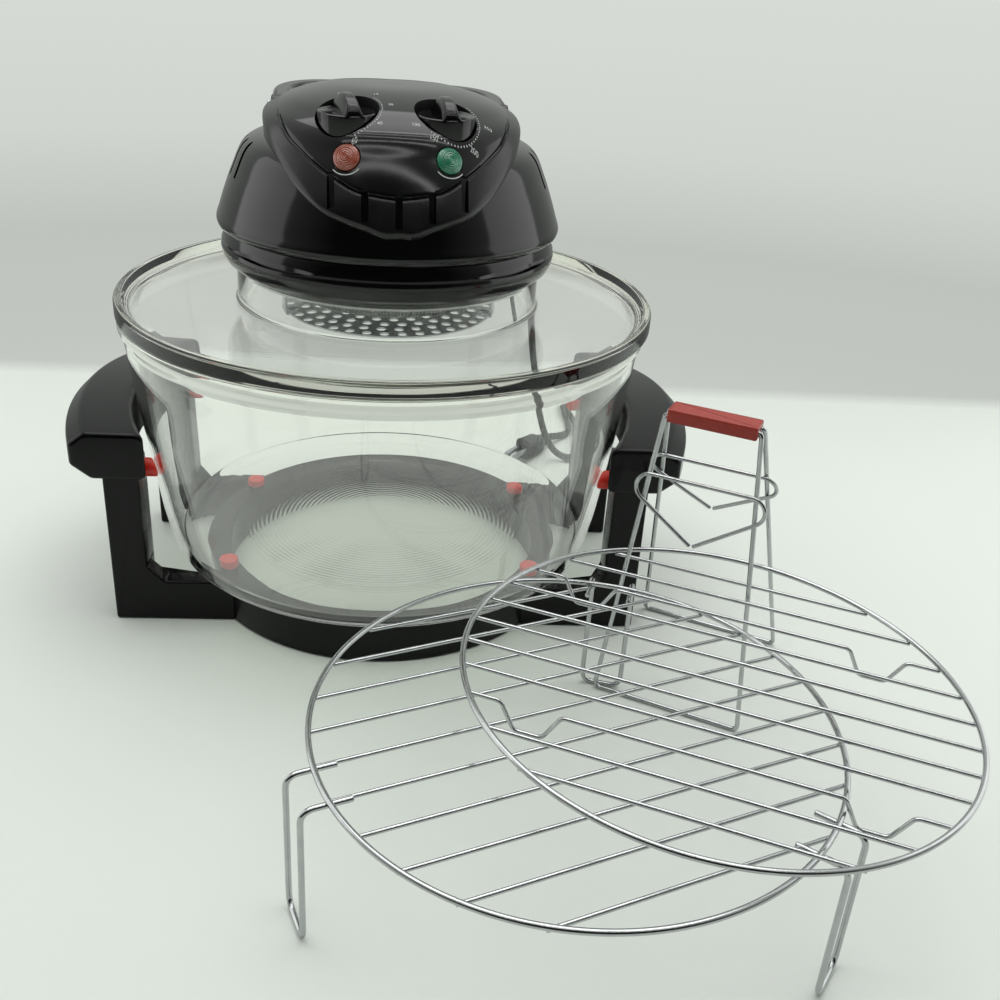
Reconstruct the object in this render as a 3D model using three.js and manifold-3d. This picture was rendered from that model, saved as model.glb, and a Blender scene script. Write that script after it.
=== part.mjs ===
// A countertop halogen and convection oven with its racks and lifting tongs.
//
// A clear glass bowl stands on a black moulded stand. A clear glass lid lifts off it and
// carries the heating head: motor, two fans, a ring shaped heating lamp behind a
// perforated guard, and a moulded housing with a shield shaped control panel.
// Millimetres, +Z up, +Y away from the control panel. The bowl's axis is x = y = 0 while
// the pieces are made, and the finished group is centred on what stands on the table.

import * as THREE from 'three';
import { mergeVertices } from 'three/addons/utils/BufferGeometryUtils.js';
import Module from 'manifold-3d';

const wasm = await Module();
wasm.setup();

// Clearances and cutting
const seat = 0.3;
const running = 0.8;
const overrun = 5;

// Numbers of sides
const roundSides = 34;
const plateSides = 30;
const turnedSides = 24;
const smallSides = 12;
const wireSides = 6;

// Stand
const ringOuterRadius = 123.5;
const ringInnerRadius = 107.5;
const standBaseHeight = 29;
const ringBevel = 2;
const armInnerFace = 65;
const armOuterFace = 78;
const pillarInnerFace = 150.5;
const pillarOuterFace = 173;
const pillarBackFace = 56;
const pillarHeight = 114;
const gusset = 11;
const footRadius = 6;

// Side handles
const handleUnderside = 103;
const handleThickness = 36;
const handleInnerRadius = 165;
const handleReach = 206.5;
const handleBow = 15.5;
const handleOverhang = 1.5;
const handleCrown = 5;
const handleUnderBevel = 11;
const handleEdge = 6;

// Silicone pads
const basePadRadius = 6.25;
const basePadStandOff = 7;
const basePadCircle = 117;
const basePadAngle = 31;
const padEdge = 1;
const sidePadRadius = 6;
const sidePadMargin = 1;

// Glass bowl
const bowlMouthRadius = 167.6;
const bowlWallHeight = 154;
const bowlHeight = 162.7;
const bowlFlangeRadius = 170;
const bowlFlangeDepth = 5.7;
const glassWall = 5;
const bowlFloorThickness = 6;
const glassEdge = 0.7;
const bowlWallShares = [
  [0.82, 0],
  [0.86, 0.035],
  [0.895, 0.169],
  [0.925, 0.383],
  [0.955, 0.61],
  [1, 1],
];
const bowlCornerShares = [
  [0.77, 0],
  [0.83, 0.03],
];

// Glass lid
const lidRimRadius = 172;
const lidRimHeight = 10.8;
const lidRimWidth = 8.8;
const lidRimEdge = 1.6;
const lidPlateRise = 5.6;
const lidCrown = 1.4;
const lidRest = 12;
const neckOuterRadius = 96.6;
const neckWall = 4.6;
const neckHeight = 30;
const neckFillet = 4;

// How the lid and its head happen to sit on the bowl in the photograph
const lidShift = 1.2;
const headTurn = 4.4;
const collarRadius = 106.8;
const collarHeight = 22.4;
const collarWall = 3;
const collarFloor = 3.5;
const spigotWidth = 3.1;
const spigotDepth = 5;
const collarShares = [
  [0.9326, 0],
  [0.969, 0.12],
  [0.996, 0.344],
  [1, 0.478],
  [0.989, 0.522],
  [0.989, 1],
];
const slitCentre = 47;
const slitSpan = 32;
const slitHeight = 3;
const slitRise = 13;
const slitSteps = 6;

// Moulded housing
const housingRadius = 107.4;
const housingHeight = 60;
const housingWall = 3;
const housingShares = [
  [1, 0],
  [1, 0.067],
  [0.982, 0.187],
  [0.948, 0.367],
  [0.904, 0.567],
  [0.83, 0.827],
  [0.735, 0.917],
  [0.5, 0.975],
  [0, 1],
];
const ventWidth = 4;
const ventInShare = 0.74;
const ventLow = 30;
const ventHigh = 52;
const ventPitch = 9;
const ventsPerSide = 5;

// Control panel, a shield that follows a domed surface of its own
const panelDomeRadius = 110.2;
const panelDomeHeight = 87;
const panelDomeShares = [
  [1, 0],
  [0.971, 0.178],
  [0.918, 0.362],
  [0.8636, 0.5],
  [0.796, 0.65],
  [0.73, 0.782],
  [0.645, 0.855],
  [0.545, 0.914],
  [0.33, 0.98],
  [0, 1],
];
const panelTilt = 40;
const panelTipReach = 109;
const panelTipRise = 21.5;
const panelHalfWidth = 76.5;
const panelLength = 140;
const panelShares = [
  [0.105, 0],
  [0.24, 0.029],
  [0.4, 0.068],
  [0.55, 0.121],
  [0.69, 0.207],
  [0.804, 0.311],
  [0.889, 0.418],
  [0.954, 0.529],
  [0.993, 0.643],
  [1, 0.75],
  [0.987, 0.823],
];
const panelBackShares = [
  [0.765, 0.823],
  [0.765, 0.893],
  [0.72, 0.95],
  [0.6, 0.986],
  [0.3, 1],
];
const faceShares = [
  [0, 0.123],
  [0.16, 0.137],
  [0.33, 0.169],
  [0.556, 0.276],
  [0.7, 0.376],
  [0.8, 0.469],
  [0.869, 0.62],
];
const grooveWidth = 1.6;
const grooveDepth = 1.5;
const panelSlots = 5;
const panelSlotPitch = 18.5;
const panelSlotWidth = 4;
const panelSlotDepth = 2.4;
const slotAboveFace = 2;
const slotFromEdge = 3;

// Knobs and lamps
const knobOffset = 27.6;
const knobForward = 59.5;
const knobTilt = 3;
const knobRadius = 16.6;
const knobRecess = 12.3;
const knobRecessGap = 1.4;
const gripHeight = 10.3;
const gripWidth = 12;
const gripTop = 8.4;
const gripSteps = 6;
const knobStem = 3;
const knobStemLength = 2.2;
const leftGripTurn = 14;
const rightGripTurn = 8;
const lampOffset = 28.4;
const lampForward = 83.5;
const lampRadius = 7.5;
const lampDome = 3;
const lampDepth = 1.6;

// Folding carry handle
const bailPivotY = 6;
const bailPivotRise = 69.5;
const bailHalfThickness = 5.5;
const bailOuterHalf = 72.5;
const bailArmWidth = 12.7;
const bailReach = 60;
const bailBarWidth = 13;
const bailCorner = 36;
const bailSteps = 4;
const bailRest = 4;
const pinRadius = 2.5;
const pinLength = 24;
const pinInPanel = 9;

// Motor, shaft and fans
const deckThickness = 2;
const postCircle = 44;
const postRadius = 3.5;
const postHeight = 23;
const posts = 3;
const motorFlangeRadius = 50;
const motorFlange = 3;
const motorRadius = 30;
const motorHeight = 42;
const motorEdge = 4;
const shaftRadius = 3;
const shaftInMotor = 20;
const shaftBelowPan = 22;
const hubRadius = 8;
const hubHeight = 10;
const coolingFanRadius = 37;
const coolingFanLift = 5;
const convectionFanRadius = 45;
const convectionFanDrop = 10;
const bladeThickness = 1.4;
const bladeHeight = 9;
const bladeLean = 30;
const coolingBlades = 5;
const convectionBlades = 6;

// Reflector, heating lamp and guard
const panLip = 5;
const panDepth = 5;
const panSheet = 1.2;
const shaftHoleRadius = 6;
const heaterCircle = 60;
const heaterRadius = 5;
const heaterDrop = 14;
const heaterGap = 34;
const heaterBend = 8;
const socketHalfWidth = 26;
const socketDepth = 16;
const socketHeight = 7;
const socketBore = 4;
const guardRadius = 69;
const guardThickness = 1;
const guardDrop = 27.5;
const guardHoleRadius = 3.4;
const guardPitch = 11.5;
const guardRings = 5;
const guardHoleSides = 6;
const bracketWidth = 8;
const bracketSheet = 1.2;
const bracketFoot = 10;
const bracketHook = 7;
const bracketAngles = [198, 342, 90];

// High rack
const highRackX = 102.9;
const highRackY = -279;
const highRackHeight = 80;
const rackRadius = 129.1;
const rackRingWire = 1.5;
const rackWire = 1.1;
const rackDrop = 2;
const highRackTurn = 20.9;
const highRackPitch = 24;
const highRackWires = 10;
const highLegAngles = [201.5, 73.8, 322.4];
const highLegOut = 12.2;
const highLegIn = 12;
const highLegBend = 7;
const highLegFoot = 10;

// Low rack, leaning on the high one
const lowRackX = 175.7;
const lowRackY = -260.7;
const lowRackHeight = 89.9;
const lowRackTurn = -20.6;
const lowRackSlope = 2.89;
const lowRackPitch = 21;
const lowRackWires = 11;
const lowFootWireShare = 3;
const lowFootAlong = 80;
const lowFootDepth = 14.5;
const lowFootHalf = 15;
const lowFootFlat = 7;
const lowFootBend = 4;

// Tongs
const tongX = 186.4;
const tongY = -152.5;
const tongTurn = -28;
const tongBlockBottom = 182.5;
const tongBlockLength = 51;
const tongBlockDepth = 15;
const tongBlockHeight = 8;
const tongBlockEdge = 1.2;
const tongWire = 1.4;
const tongFootLength = 91.2;
const tongPivotOffset = 3.6;
const tongPivotDepth = 7;
const tongFrontLean = -4.2;
const tongRearLean = 24.4;
const tongCorner = 7;
const loopTop = 37;
const loopHalfStraight = 29;
const loopEnd = 8.4;
const loopTip = 75;
const loopSplit = 0.75;

// Mains cord
const cordRadius = 3.2;
const cordSides = 8;
const cordStep = 15;
const cordWay = [
  [104, 151, 236],
  [108, 166, 208],
  [110, 177, 176],
  [115, 184, 143],
  [121, 188, 110],
  [127, 190, 78],
  [134, 190, 50],
  [143, 189.5, 27],
  [155, 189, 11],
  [169, 188.6, 4.4],
  [184, 188.4, 3.5],
];
const reliefAngle = 55;
const reliefRise = 12;
const reliefLength = 34;
const reliefRoot = 8.5;
const reliefTip = 5;
const reliefDip = 16;
const reliefSunk = 5;
const reliefRibs = 4;
const reliefGroove = 1;

// Hank of the cord's spare length, lying behind the right leg
const hankX = 204.2;
const hankY = 262.5;
const hankRun = 96;
const hankFold = 20;
const hankPitch = 8.1;
const hankWaist = 4;
const hankFloor = 3.5;
const hankLayer = 7.2;
const hankTurns = 1.75;
const hankTurnBack = 0.75;
const hankSteps = 24;
const hankSides = 6;
const hankSettle = 0.13;
const tailWay = [
  [180, 253, 3.5],
  [177.5, 246.5, 3.5],
  [172.5, 240.5, 3.8],
  [165, 235.5, 5],
  [158, 230.6, 6.8],
];

// Mains plug on the table
const plugX = 150;
const plugY = 224;
const plugAngle = 221;
const plugHeight = 15;
const plugWidth = 23;
const plugNeck = 9;
const plugBody = 27;
const plugRear = 5.2;
const pinSpacing = 9.5;
const plugPinRadius = 2.2;
const plugPinLength = 18;

const quarter = Math.PI / 2;
const rad = THREE.MathUtils.degToRad;

// Looks, one new material for each mesh
const look = (color, roughness, metalness = 0, more = {}) => () =>
  new THREE.MeshStandardMaterial({ color, roughness, metalness, ...more });
const blackPlastic = look(0x0b0c0c, 0.25);
const greyPanel = look(0x4a4e4e, 0.3, 0.3);
const clearGlass = look(0xe9efe9, 0.03, 0, { transparent: true, opacity: 0.35 });
const redSilicone = look(0xa3221a, 0.5);
const redPaint = look(0x9c2b1e, 0.4);
const chrome = look(0xb9b9b6, 0.22, 1);
const steel = look(0x8d8f90, 0.35, 1);
const aluminium = look(0xa9abac, 0.45, 1);
const ceramic = look(0xd8d4c8, 0.7);
const quartz = look(0xe4e1d6, 0.15);
const amberLens = look(0xb5522e, 0.15);
const greenLens = look(0x2c8a5f, 0.15);
const cordRubber = look(0x2a2b2c, 0.55);

// Closed solids and cuts between them
function solid(geometry) {
  const bare = geometry.clone();
  bare.deleteAttribute('normal');
  bare.deleteAttribute('uv');
  const welded = mergeVertices(bare);
  const at = welded.attributes.position.array;
  const corners = welded.index.array;
  const kept = [];
  let volume = 0;
  const a = new THREE.Vector3();
  const b = new THREE.Vector3();
  const c = new THREE.Vector3();
  for (let i = 0; i < corners.length; i += 3) {
    const [p, q, r] = [corners[i], corners[i + 1], corners[i + 2]];
    if (p === q || q === r || r === p) continue;
    kept.push([p, q, r]);
    a.fromArray(at, 3 * p);
    b.fromArray(at, 3 * q);
    c.fromArray(at, 3 * r);
    volume += a.dot(b.cross(c));
  }
  const outward = volume > 0 ? kept : kept.map(([p, q, r]) => [p, r, q]);
  return new wasm.Manifold(new wasm.Mesh({
    numProp: 3,
    vertProperties: new Float32Array(at),
    triVerts: new Uint32Array(outward.flat()),
  }));
}

function shapeOf(body) {
  const mesh = body.getMesh();
  const geometry = new THREE.BufferGeometry();
  geometry.setAttribute('position', new THREE.BufferAttribute(mesh.vertProperties, 3));
  geometry.setIndex(new THREE.BufferAttribute(mesh.triVerts, 1));
  return geometry;
}

const join = (...parts) => shapeOf(parts.map(solid).reduce((sum, next) => sum.add(next)));
const cut = (base, ...tools) =>
  shapeOf(tools.map(solid).reduce((rest, tool) => rest.subtract(tool), solid(base)));
const common = (...parts) =>
  shapeOf(parts.map(solid).reduce((rest, next) => rest.intersect(next)));

// Forms
function revolve(profile, sides = roundSides) {
  const points = profile.map(([r, z]) => new THREE.Vector2(r, z));
  const open = profile[0][0] !== 0 || profile.at(-1)[0] !== 0;
  if (open) points.push(points[0].clone());
  return new THREE.LatheGeometry(points, sides).rotateX(quarter);
}

function prism(outline, low, high, holes = []) {
  const shape = new THREE.Shape(outline.map(([x, y]) => new THREE.Vector2(x, y)));
  for (const hole of holes) {
    shape.holes.push(new THREE.Path(hole.map(([x, y]) => new THREE.Vector2(x, y))));
  }
  const geometry = new THREE.ExtrudeGeometry(shape, { depth: high - low, bevelEnabled: false });
  return geometry.translate(0, 0, low);
}

const box = (x0, x1, y0, y1, z0, z1) =>
  new THREE.BoxGeometry(x1 - x0, y1 - y0, z1 - z0)
    .translate((x0 + x1) / 2, (y0 + y1) / 2, (z0 + z1) / 2);

const disc = (radius, low, high, sides = turnedSides) =>
  new THREE.CylinderGeometry(radius, radius, high - low, sides)
    .rotateX(quarter)
    .translate(0, 0, (low + high) / 2);

function sector(inner, outer, from, to, low, high, steps) {
  const outline = [];
  for (let i = 0; i <= steps; i += 1) {
    const angle = rad(from + ((to - from) * i) / steps);
    outline.push([outer * Math.cos(angle), outer * Math.sin(angle)]);
  }
  for (let i = steps; i >= 0; i -= 1) {
    const angle = rad(from + ((to - from) * i) / steps);
    outline.push([inner * Math.cos(angle), inner * Math.sin(angle)]);
  }
  return prism(outline, low, high);
}

// A path that puts one ring of a wire on each of its points
class Route extends THREE.Curve {
  constructor(points) {
    super();
    this.points = points.map((point) => new THREE.Vector3(...point));
  }

  getPoint(t) {
    const last = this.points.length - 1;
    const place = Math.min(Math.max(t, 0), 1) * last;
    const before = Math.min(Math.floor(place), last - 1);
    return this.points[before].clone().lerp(this.points[before + 1], place - before);
  }

  getPointAt(u) {
    return this.getPoint(u);
  }

  getTangentAt(u) {
    const last = this.points.length - 1;
    const place = Math.round(u * last);
    const next = this.points[Math.min(place + 1, last)].clone();
    const here = this.points[place];
    const before = this.points[Math.max(place - 1, 0)];
    const ahead = place === last ? new THREE.Vector3() : next.sub(here).normalize();
    const behind = place === 0 ? new THREE.Vector3() : here.clone().sub(before).normalize();
    return ahead.add(behind).normalize();
  }
}

function wire(points, radius, sides = wireSides) {
  const section = [];
  for (let i = 0; i < sides; i += 1) {
    const angle = (2 * Math.PI * i) / sides;
    section.push(new THREE.Vector2(radius * Math.cos(angle), radius * Math.sin(angle)));
  }
  return new THREE.ExtrudeGeometry(new THREE.Shape(section), {
    steps: points.length - 1,
    bevelEnabled: false,
    extrudePath: new Route(points),
  });
}

// Rounds the inner corners of a path of points
function rounded(points, radius, steps = 3) {
  const path = points.map((point) => new THREE.Vector3(...point));
  const out = [path[0].toArray()];
  for (let i = 1; i < path.length - 1; i += 1) {
    const toward = path[i - 1].clone().sub(path[i]).normalize();
    const away = path[i + 1].clone().sub(path[i]).normalize();
    const half = Math.acos(THREE.MathUtils.clamp(toward.dot(away), -1, 1)) / 2;
    const back = radius / Math.tan(half);
    const enter = path[i].clone().addScaledVector(toward, back);
    const leave = path[i].clone().addScaledVector(away, back);
    const bend = new THREE.QuadraticBezierCurve3(enter, path[i], leave);
    for (const point of bend.getPoints(steps)) out.push(point.toArray());
  }
  out.push(path.at(-1).toArray());
  return out;
}

// Moves a profile of a revolved surface sideways by a wall or a clearance
function offset(profile, distance) {
  return profile.map(([r, z], i) => {
    const before = profile[Math.max(i - 1, 0)];
    const after = profile[Math.min(i + 1, profile.length - 1)];
    const along = new THREE.Vector2(after[0] - before[0], after[1] - before[1]).normalize();
    return [r === 0 ? 0 : r + along.y * distance, z - along.x * distance];
  });
}

const fromShares = (shares, radius, height, base) =>
  shares.map(([r, z]) => [r * radius, base + z * height]);

// The assembly
const oven = new THREE.Group();
const lid = new THREE.Group();
lid.position.x = lidShift;
const head = new THREE.Group();
const cordPieces = new Set();

function piece(name, geometry, material, parent = oven) {
  const mesh = new THREE.Mesh(shapeOf(solid(geometry)), material());
  mesh.name = name;
  parent.add(mesh);
  return mesh;
}

const sides = [
  ['left', -1],
  ['right', 1],
];
const ends = [
  ['front', -1],
  ['rear', 1],
];

// Heights that follow from each other
const bowlBase = standBaseHeight + basePadStandOff;
const lidBase = bowlBase + bowlHeight + seat;
const neckTop = lidBase + neckHeight;
const collarBase = neckTop + seat;
const housingBase = collarBase + collarHeight + seat;
const neckInnerRadius = neckOuterRadius - neckWall;

// Stand: ring, four legs, two handles and eight pads
piece('base_ring', revolve([
  [ringInnerRadius, 0],
  [ringOuterRadius, 0],
  [ringOuterRadius, standBaseHeight - ringBevel],
  [ringOuterRadius - ringBevel, standBaseHeight],
  [ringInnerRadius + ringBevel, standBaseHeight],
  [ringInnerRadius, standBaseHeight - ringBevel],
]), blackPlastic);

const armStart = Math.sqrt(ringOuterRadius ** 2 - armOuterFace ** 2);
const footArc = [1, 2, 3].map((step) => {
  const angle = quarter * (step / 3 - 1);
  return [
    pillarOuterFace - footRadius + footRadius * Math.cos(angle),
    footRadius + footRadius * Math.sin(angle),
  ];
});
const armOutline = [
  [armStart, 0],
  [pillarOuterFace - footRadius, 0],
  ...footArc,
  [pillarOuterFace, pillarHeight],
  [pillarInnerFace, pillarHeight],
  [pillarInnerFace, standBaseHeight + gusset],
  [pillarInnerFace - gusset, standBaseHeight],
  [armStart, standBaseHeight],
];
const pillarOutline = [
  [pillarInnerFace, 0],
  [pillarOuterFace - footRadius, 0],
  ...footArc,
  [pillarOuterFace, pillarHeight],
  [pillarInnerFace, pillarHeight],
];
const upright = (outline, near, far) => prism(outline, -far, -near).rotateX(quarter);
const ringTool = disc(ringOuterRadius + seat, -overrun, standBaseHeight + overrun, roundSides);
const leg = cut(
  join(
    upright(armOutline, armInnerFace, armOuterFace),
    upright(pillarOutline, pillarBackFace, armOuterFace),
  ),
  ringTool,
);

const handleHalf = armOuterFace + handleOverhang;
const handleTop = handleUnderside + handleThickness;
const handleArcRadius = (handleHalf ** 2 + handleBow ** 2) / (2 * handleBow);
const arcSteps = 8;
const handleOutline = [];
const innerSweep = Math.asin(handleHalf / handleInnerRadius);
const outerSweep = Math.asin((handleHalf - handleEdge / 2) / handleArcRadius);
for (let i = 0; i <= arcSteps; i += 1) {
  const angle = outerSweep * ((2 * i) / arcSteps - 1);
  handleOutline.push([
    handleReach - handleArcRadius + handleArcRadius * Math.cos(angle),
    handleArcRadius * Math.sin(angle),
  ]);
}
handleOutline.unshift([handleReach - handleBow - handleEdge, -handleHalf]);
handleOutline.push([handleReach - handleBow - handleEdge, handleHalf]);
for (let i = arcSteps; i >= 0; i -= 1) {
  const angle = innerSweep * ((2 * i) / arcSteps - 1);
  handleOutline.push([handleInnerRadius * Math.cos(angle), handleInnerRadius * Math.sin(angle)]);
}
const handleInside = handleInnerRadius - overrun;
const handleNear = handleInnerRadius * Math.cos(innerSweep);
const handleSection = [
  [handleNear - overrun, handleUnderside],
  [handleReach - handleBow, handleUnderside],
  [handleReach - handleEdge, handleUnderside + handleUnderBevel / 2],
  [handleReach + overrun, handleUnderside + handleUnderBevel],
  [handleReach + overrun, handleTop - handleUnderBevel],
  [handleReach - handleEdge, handleTop - handleEdge / 2],
  [handleReach - handleBow, handleTop],
  [handleInside, handleTop],
  [handleNear, handleTop - handleEdge],
  [handleNear - overrun, handleTop - handleUnderBevel],
];
const crownOutline = [
  [-handleHalf - overrun, handleUnderside - overrun],
  [handleHalf + overrun, handleUnderside - overrun],
];
for (let i = 0; i <= arcSteps; i += 1) {
  const along = 1 - (2 * i) / arcSteps;
  crownOutline.push([along * (handleHalf + overrun), handleTop - handleCrown * along ** 2]);
}
const handleSolid = common(
  prism(handleOutline, handleUnderside - overrun, handleTop + overrun),
  upright(handleSection, -handleHalf - overrun, handleHalf + overrun),
  prism(crownOutline, handleNear - overrun, handleReach + overrun)
    .rotateX(quarter)
    .rotateZ(quarter),
);
const pocket = (near, far) => box(
  handleNear - overrun,
  pillarOuterFace + seat,
  near,
  far,
  handleUnderside - overrun,
  pillarHeight + seat,
);
const handle = cut(
  handleSolid,
  pocket(pillarBackFace - seat, armOuterFace + seat),
  pocket(-armOuterFace - seat, -pillarBackFace + seat),
);

const bowlWall = fromShares(bowlWallShares, bowlMouthRadius, bowlWallHeight, bowlBase);
const bowlTop = bowlBase + bowlHeight;
const flangeBase = bowlTop - bowlFlangeDepth;
const bowlOutside = [
  [0, bowlBase],
  ...bowlWall,
  [bowlFlangeRadius, flangeBase],
  [bowlFlangeRadius, bowlTop - glassEdge],
  [bowlFlangeRadius - glassEdge, bowlTop],
];
const bowlTool = revolve([
  [0, bowlBase - seat],
  ...bowlWall.map(([r, z]) => [r + seat, z]),
  [0, bowlBase + bowlWallHeight],
]);

const sidePadHeight = pillarHeight - sidePadRadius - sidePadMargin;
const sidePadY = (pillarBackFace + armOuterFace) / 2;
const sidePadReach = pillarInnerFace - seat;
const sidePad = cut(
  disc(sidePadRadius, sidePadReach - 3 * sidePadRadius, sidePadReach, smallSides)
    .rotateY(quarter)
    .translate(0, sidePadY, sidePadHeight),
  bowlTool,
);
const basePadTop = bowlBase - seat;
const basePad = revolve([
  [0, standBaseHeight + seat],
  [basePadRadius, standBaseHeight + seat],
  [basePadRadius, basePadTop - padEdge],
  [basePadRadius - padEdge, basePadTop],
  [0, basePadTop],
], smallSides);

for (const [side, sx] of sides) {
  piece(`handle_${side}`, handle.clone().scale(sx, 1, 1), blackPlastic);
  for (const [end, sy] of ends) {
    const mirrored = (geometry) => geometry.clone().scale(sx, sy, 1);
    piece(`leg_${end}_${side}`, mirrored(leg), blackPlastic);
    piece(`side_pad_${end}_${side}`, mirrored(sidePad), redSilicone);
    const angle = rad(basePadAngle);
    const placed = basePad.clone()
      .translate(basePadCircle * Math.cos(angle), basePadCircle * Math.sin(angle), 0);
    piece(`base_pad_${end}_${side}`, mirrored(placed), redSilicone);
  }
}

// Glass bowl, its inner wall one glass wall inside the outer one
const bowlFloor = bowlBase + bowlFloorThickness;
const bowlInside = [
  [bowlMouthRadius - glassWall, bowlTop - glassEdge],
  ...bowlWall.slice(2).reverse().map(([r, z]) => [r - glassWall, z]),
  ...fromShares(bowlCornerShares, bowlMouthRadius, bowlWallHeight, bowlFloor).reverse(),
  [0, bowlFloor],
];
piece('glass_bowl', revolve([
  ...bowlOutside,
  [bowlMouthRadius - glassWall + glassEdge, bowlTop],
  ...bowlInside,
]), clearGlass);

// Glass lid: thick rim, flat crowned plate and a neck that carries the head
const beadRadius = lidRimRadius - lidRimWidth;
const plateTop = lidBase + lidPlateRise + lidCrown;
piece('glass_lid', revolve([
  [lidRimRadius - lidRimEdge, lidBase],
  [lidRimRadius, lidBase + lidRimEdge],
  [lidRimRadius, lidBase + lidRimHeight - lidRimEdge],
  [lidRimRadius - lidRimEdge, lidBase + lidRimHeight],
  [lidRimRadius - lidRimWidth / 2, lidBase + lidRimHeight],
  [beadRadius, lidBase + lidPlateRise],
  [neckOuterRadius + neckFillet, plateTop],
  [neckOuterRadius, plateTop + neckFillet],
  [neckOuterRadius, neckTop - glassEdge],
  [neckOuterRadius - glassEdge, neckTop],
  [neckInnerRadius + glassEdge, neckTop],
  [neckInnerRadius, neckTop - glassEdge],
  [neckInnerRadius, plateTop - glassWall + neckFillet / 2],
  [neckInnerRadius + neckFillet / 2, plateTop - glassWall],
  [beadRadius - lidRest / 2, lidBase + lidPlateRise - glassWall],
  [beadRadius, lidBase],
]), clearGlass, lid);

// Collar that clamps the neck, with four long air slits
const flatShare = Math.cos(Math.PI / roundSides);
const spigotRadius = neckInnerRadius * flatShare - seat;
const collarOutside = fromShares(collarShares, collarRadius, collarHeight, collarBase);
const collarTopRadius = collarOutside.at(-1)[0];
const collarTop = collarBase + collarHeight;
const collarInside = collarTopRadius - collarWall;
const slits = [-1, 1].flatMap((half) => [-1, 1].map((turn) => {
  const centre = half * 90 + turn * slitCentre;
  return sector(
    collarInside - overrun,
    collarRadius + overrun,
    centre - slitSpan / 2,
    centre + slitSpan / 2,
    collarBase + slitRise,
    collarBase + slitRise + slitHeight,
    slitSteps,
  );
}));
piece('collar_ring', cut(revolve([
  ...collarOutside,
  [collarInside, collarTop],
  [collarInside, collarBase + collarFloor],
  [spigotRadius - spigotWidth, collarBase + collarFloor],
  [spigotRadius - spigotWidth, collarBase - spigotDepth],
  [spigotRadius, collarBase - spigotDepth],
  [spigotRadius, collarBase],
]), ...slits), blackPlastic, head);

// Housing shell with upright vents on both shoulders
const housingOutside = fromShares(housingShares, housingRadius, housingHeight, housingBase);
const housingInside = offset(housingOutside, -housingWall)
  .map(([r, z]) => [r, Math.max(z, housingBase)]);
const vents = [0, 180].flatMap((side) => {
  const made = [];
  for (let i = 0; i < ventsPerSide; i += 1) {
    const turn = side + (i - (ventsPerSide - 1) / 2) * ventPitch;
    made.push(box(
      housingRadius * ventInShare,
      housingRadius + overrun,
      -ventWidth / 2,
      ventWidth / 2,
      housingBase + ventLow,
      housingBase + ventHigh,
    ).rotateZ(rad(turn)));
  }
  return made;
});
piece('head_housing', cut(
  revolve([...housingOutside, ...housingInside.reverse()]),
  ...vents,
), blackPlastic, head);

// Control panel
const tilt = rad(panelTilt);
const domeBase = collarTop - 1.7 * seat;
const panelDome = fromShares(panelDomeShares, panelDomeRadius, panelDomeHeight, domeBase);
const tipHeight = housingBase + panelTipRise;
const outlineOf = (shares) =>
  shares.map(([across, along]) => [across * panelHalfWidth, along * panelLength]);
const mirroredOutline = (half) => {
  const back = half.filter(([x]) => x > 0).map(([x, y]) => [-x, y]).reverse();
  return [...half, ...back];
};
// Local x is across, local y runs up the panel's slope and local z is its cutting way
const onSlope = (geometry) => geometry.rotateX(tilt).translate(0, -panelTipReach, tipHeight);
const panelOutline = mirroredOutline(outlineOf([...panelShares, ...panelBackShares]));
const domeSolid = (profile) => revolve([[0, profile[0][1]], ...profile]);
const reach = panelLength;
const faceOutline = outlineOf(faceShares);
const grooveBand = (grow) => faceOutline.map(([x, y], i) => {
  const before = faceOutline[Math.max(i - 1, 0)];
  const after = faceOutline[Math.min(i + 1, faceOutline.length - 1)];
  const along = new THREE.Vector2(after[0] - before[0], after[1] - before[1]).normalize();
  return [i === 0 ? 0 : x + along.y * grow, y - along.x * grow];
});
const mirrorOpen = (half) =>
  [...half.slice(1).reverse().map(([x, y]) => [-x, y]), ...half];
const groove = [
  ...mirrorOpen(grooveBand(grooveWidth / 2)),
  ...mirrorOpen(grooveBand(-grooveWidth / 2)).reverse(),
];
const edgeAt = (shares, across) => {
  const half = outlineOf(shares);
  const next = half.findIndex(([x]) => x >= across);
  if (next <= 0) return half[0][1];
  const [x0, y0] = half[next - 1];
  const [x1, y1] = half[next];
  return y0 + ((y1 - y0) * (across - x0)) / (x1 - x0);
};
const slotTools = [];
for (let i = 0; i < panelSlots; i += 1) {
  const centre = (i - (panelSlots - 1) / 2) * panelSlotPitch;
  const low = edgeAt(panelShares, Math.abs(centre)) + slotFromEdge;
  const high = edgeAt(faceShares, Math.abs(centre)) + slotAboveFace;
  slotTools.push([
    [centre - panelSlotWidth / 2, low],
    [centre + panelSlotWidth / 2, low],
    [centre + panelSlotWidth / 2, high],
    [centre - panelSlotWidth / 2, high],
  ]);
}

// Where a control sits: the dome's point above (x, y) and its outward direction
function onDome(x, y) {
  const radius = Math.hypot(x, y);
  const next = panelDome.findIndex(([r]) => r < radius);
  const [r0, z0] = panelDome[next - 1];
  const [r1, z1] = panelDome[next];
  const z = z0 + ((z1 - z0) * (radius - r0)) / (r1 - r0);
  const lean = Math.atan2(z1 - z0, r0 - r1);
  const out = new THREE.Vector3((x / radius) * Math.sin(lean), (y / radius) * Math.sin(lean), 0);
  out.z = Math.cos(lean);
  return { point: new THREE.Vector3(x, y, z), out };
}

const upward = new THREE.Vector3(0, 0, 1);
const knobAxis = upward.clone().applyAxisAngle(new THREE.Vector3(1, 0, 0), rad(knobTilt));

function seatOn(x, y, along) {
  const { point, out } = onDome(x, y);
  const frame = new THREE.Group();
  frame.position.copy(point);
  frame.quaternion.setFromUnitVectors(upward, along ?? out);
  frame.updateMatrix();
  return frame;
}

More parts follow.
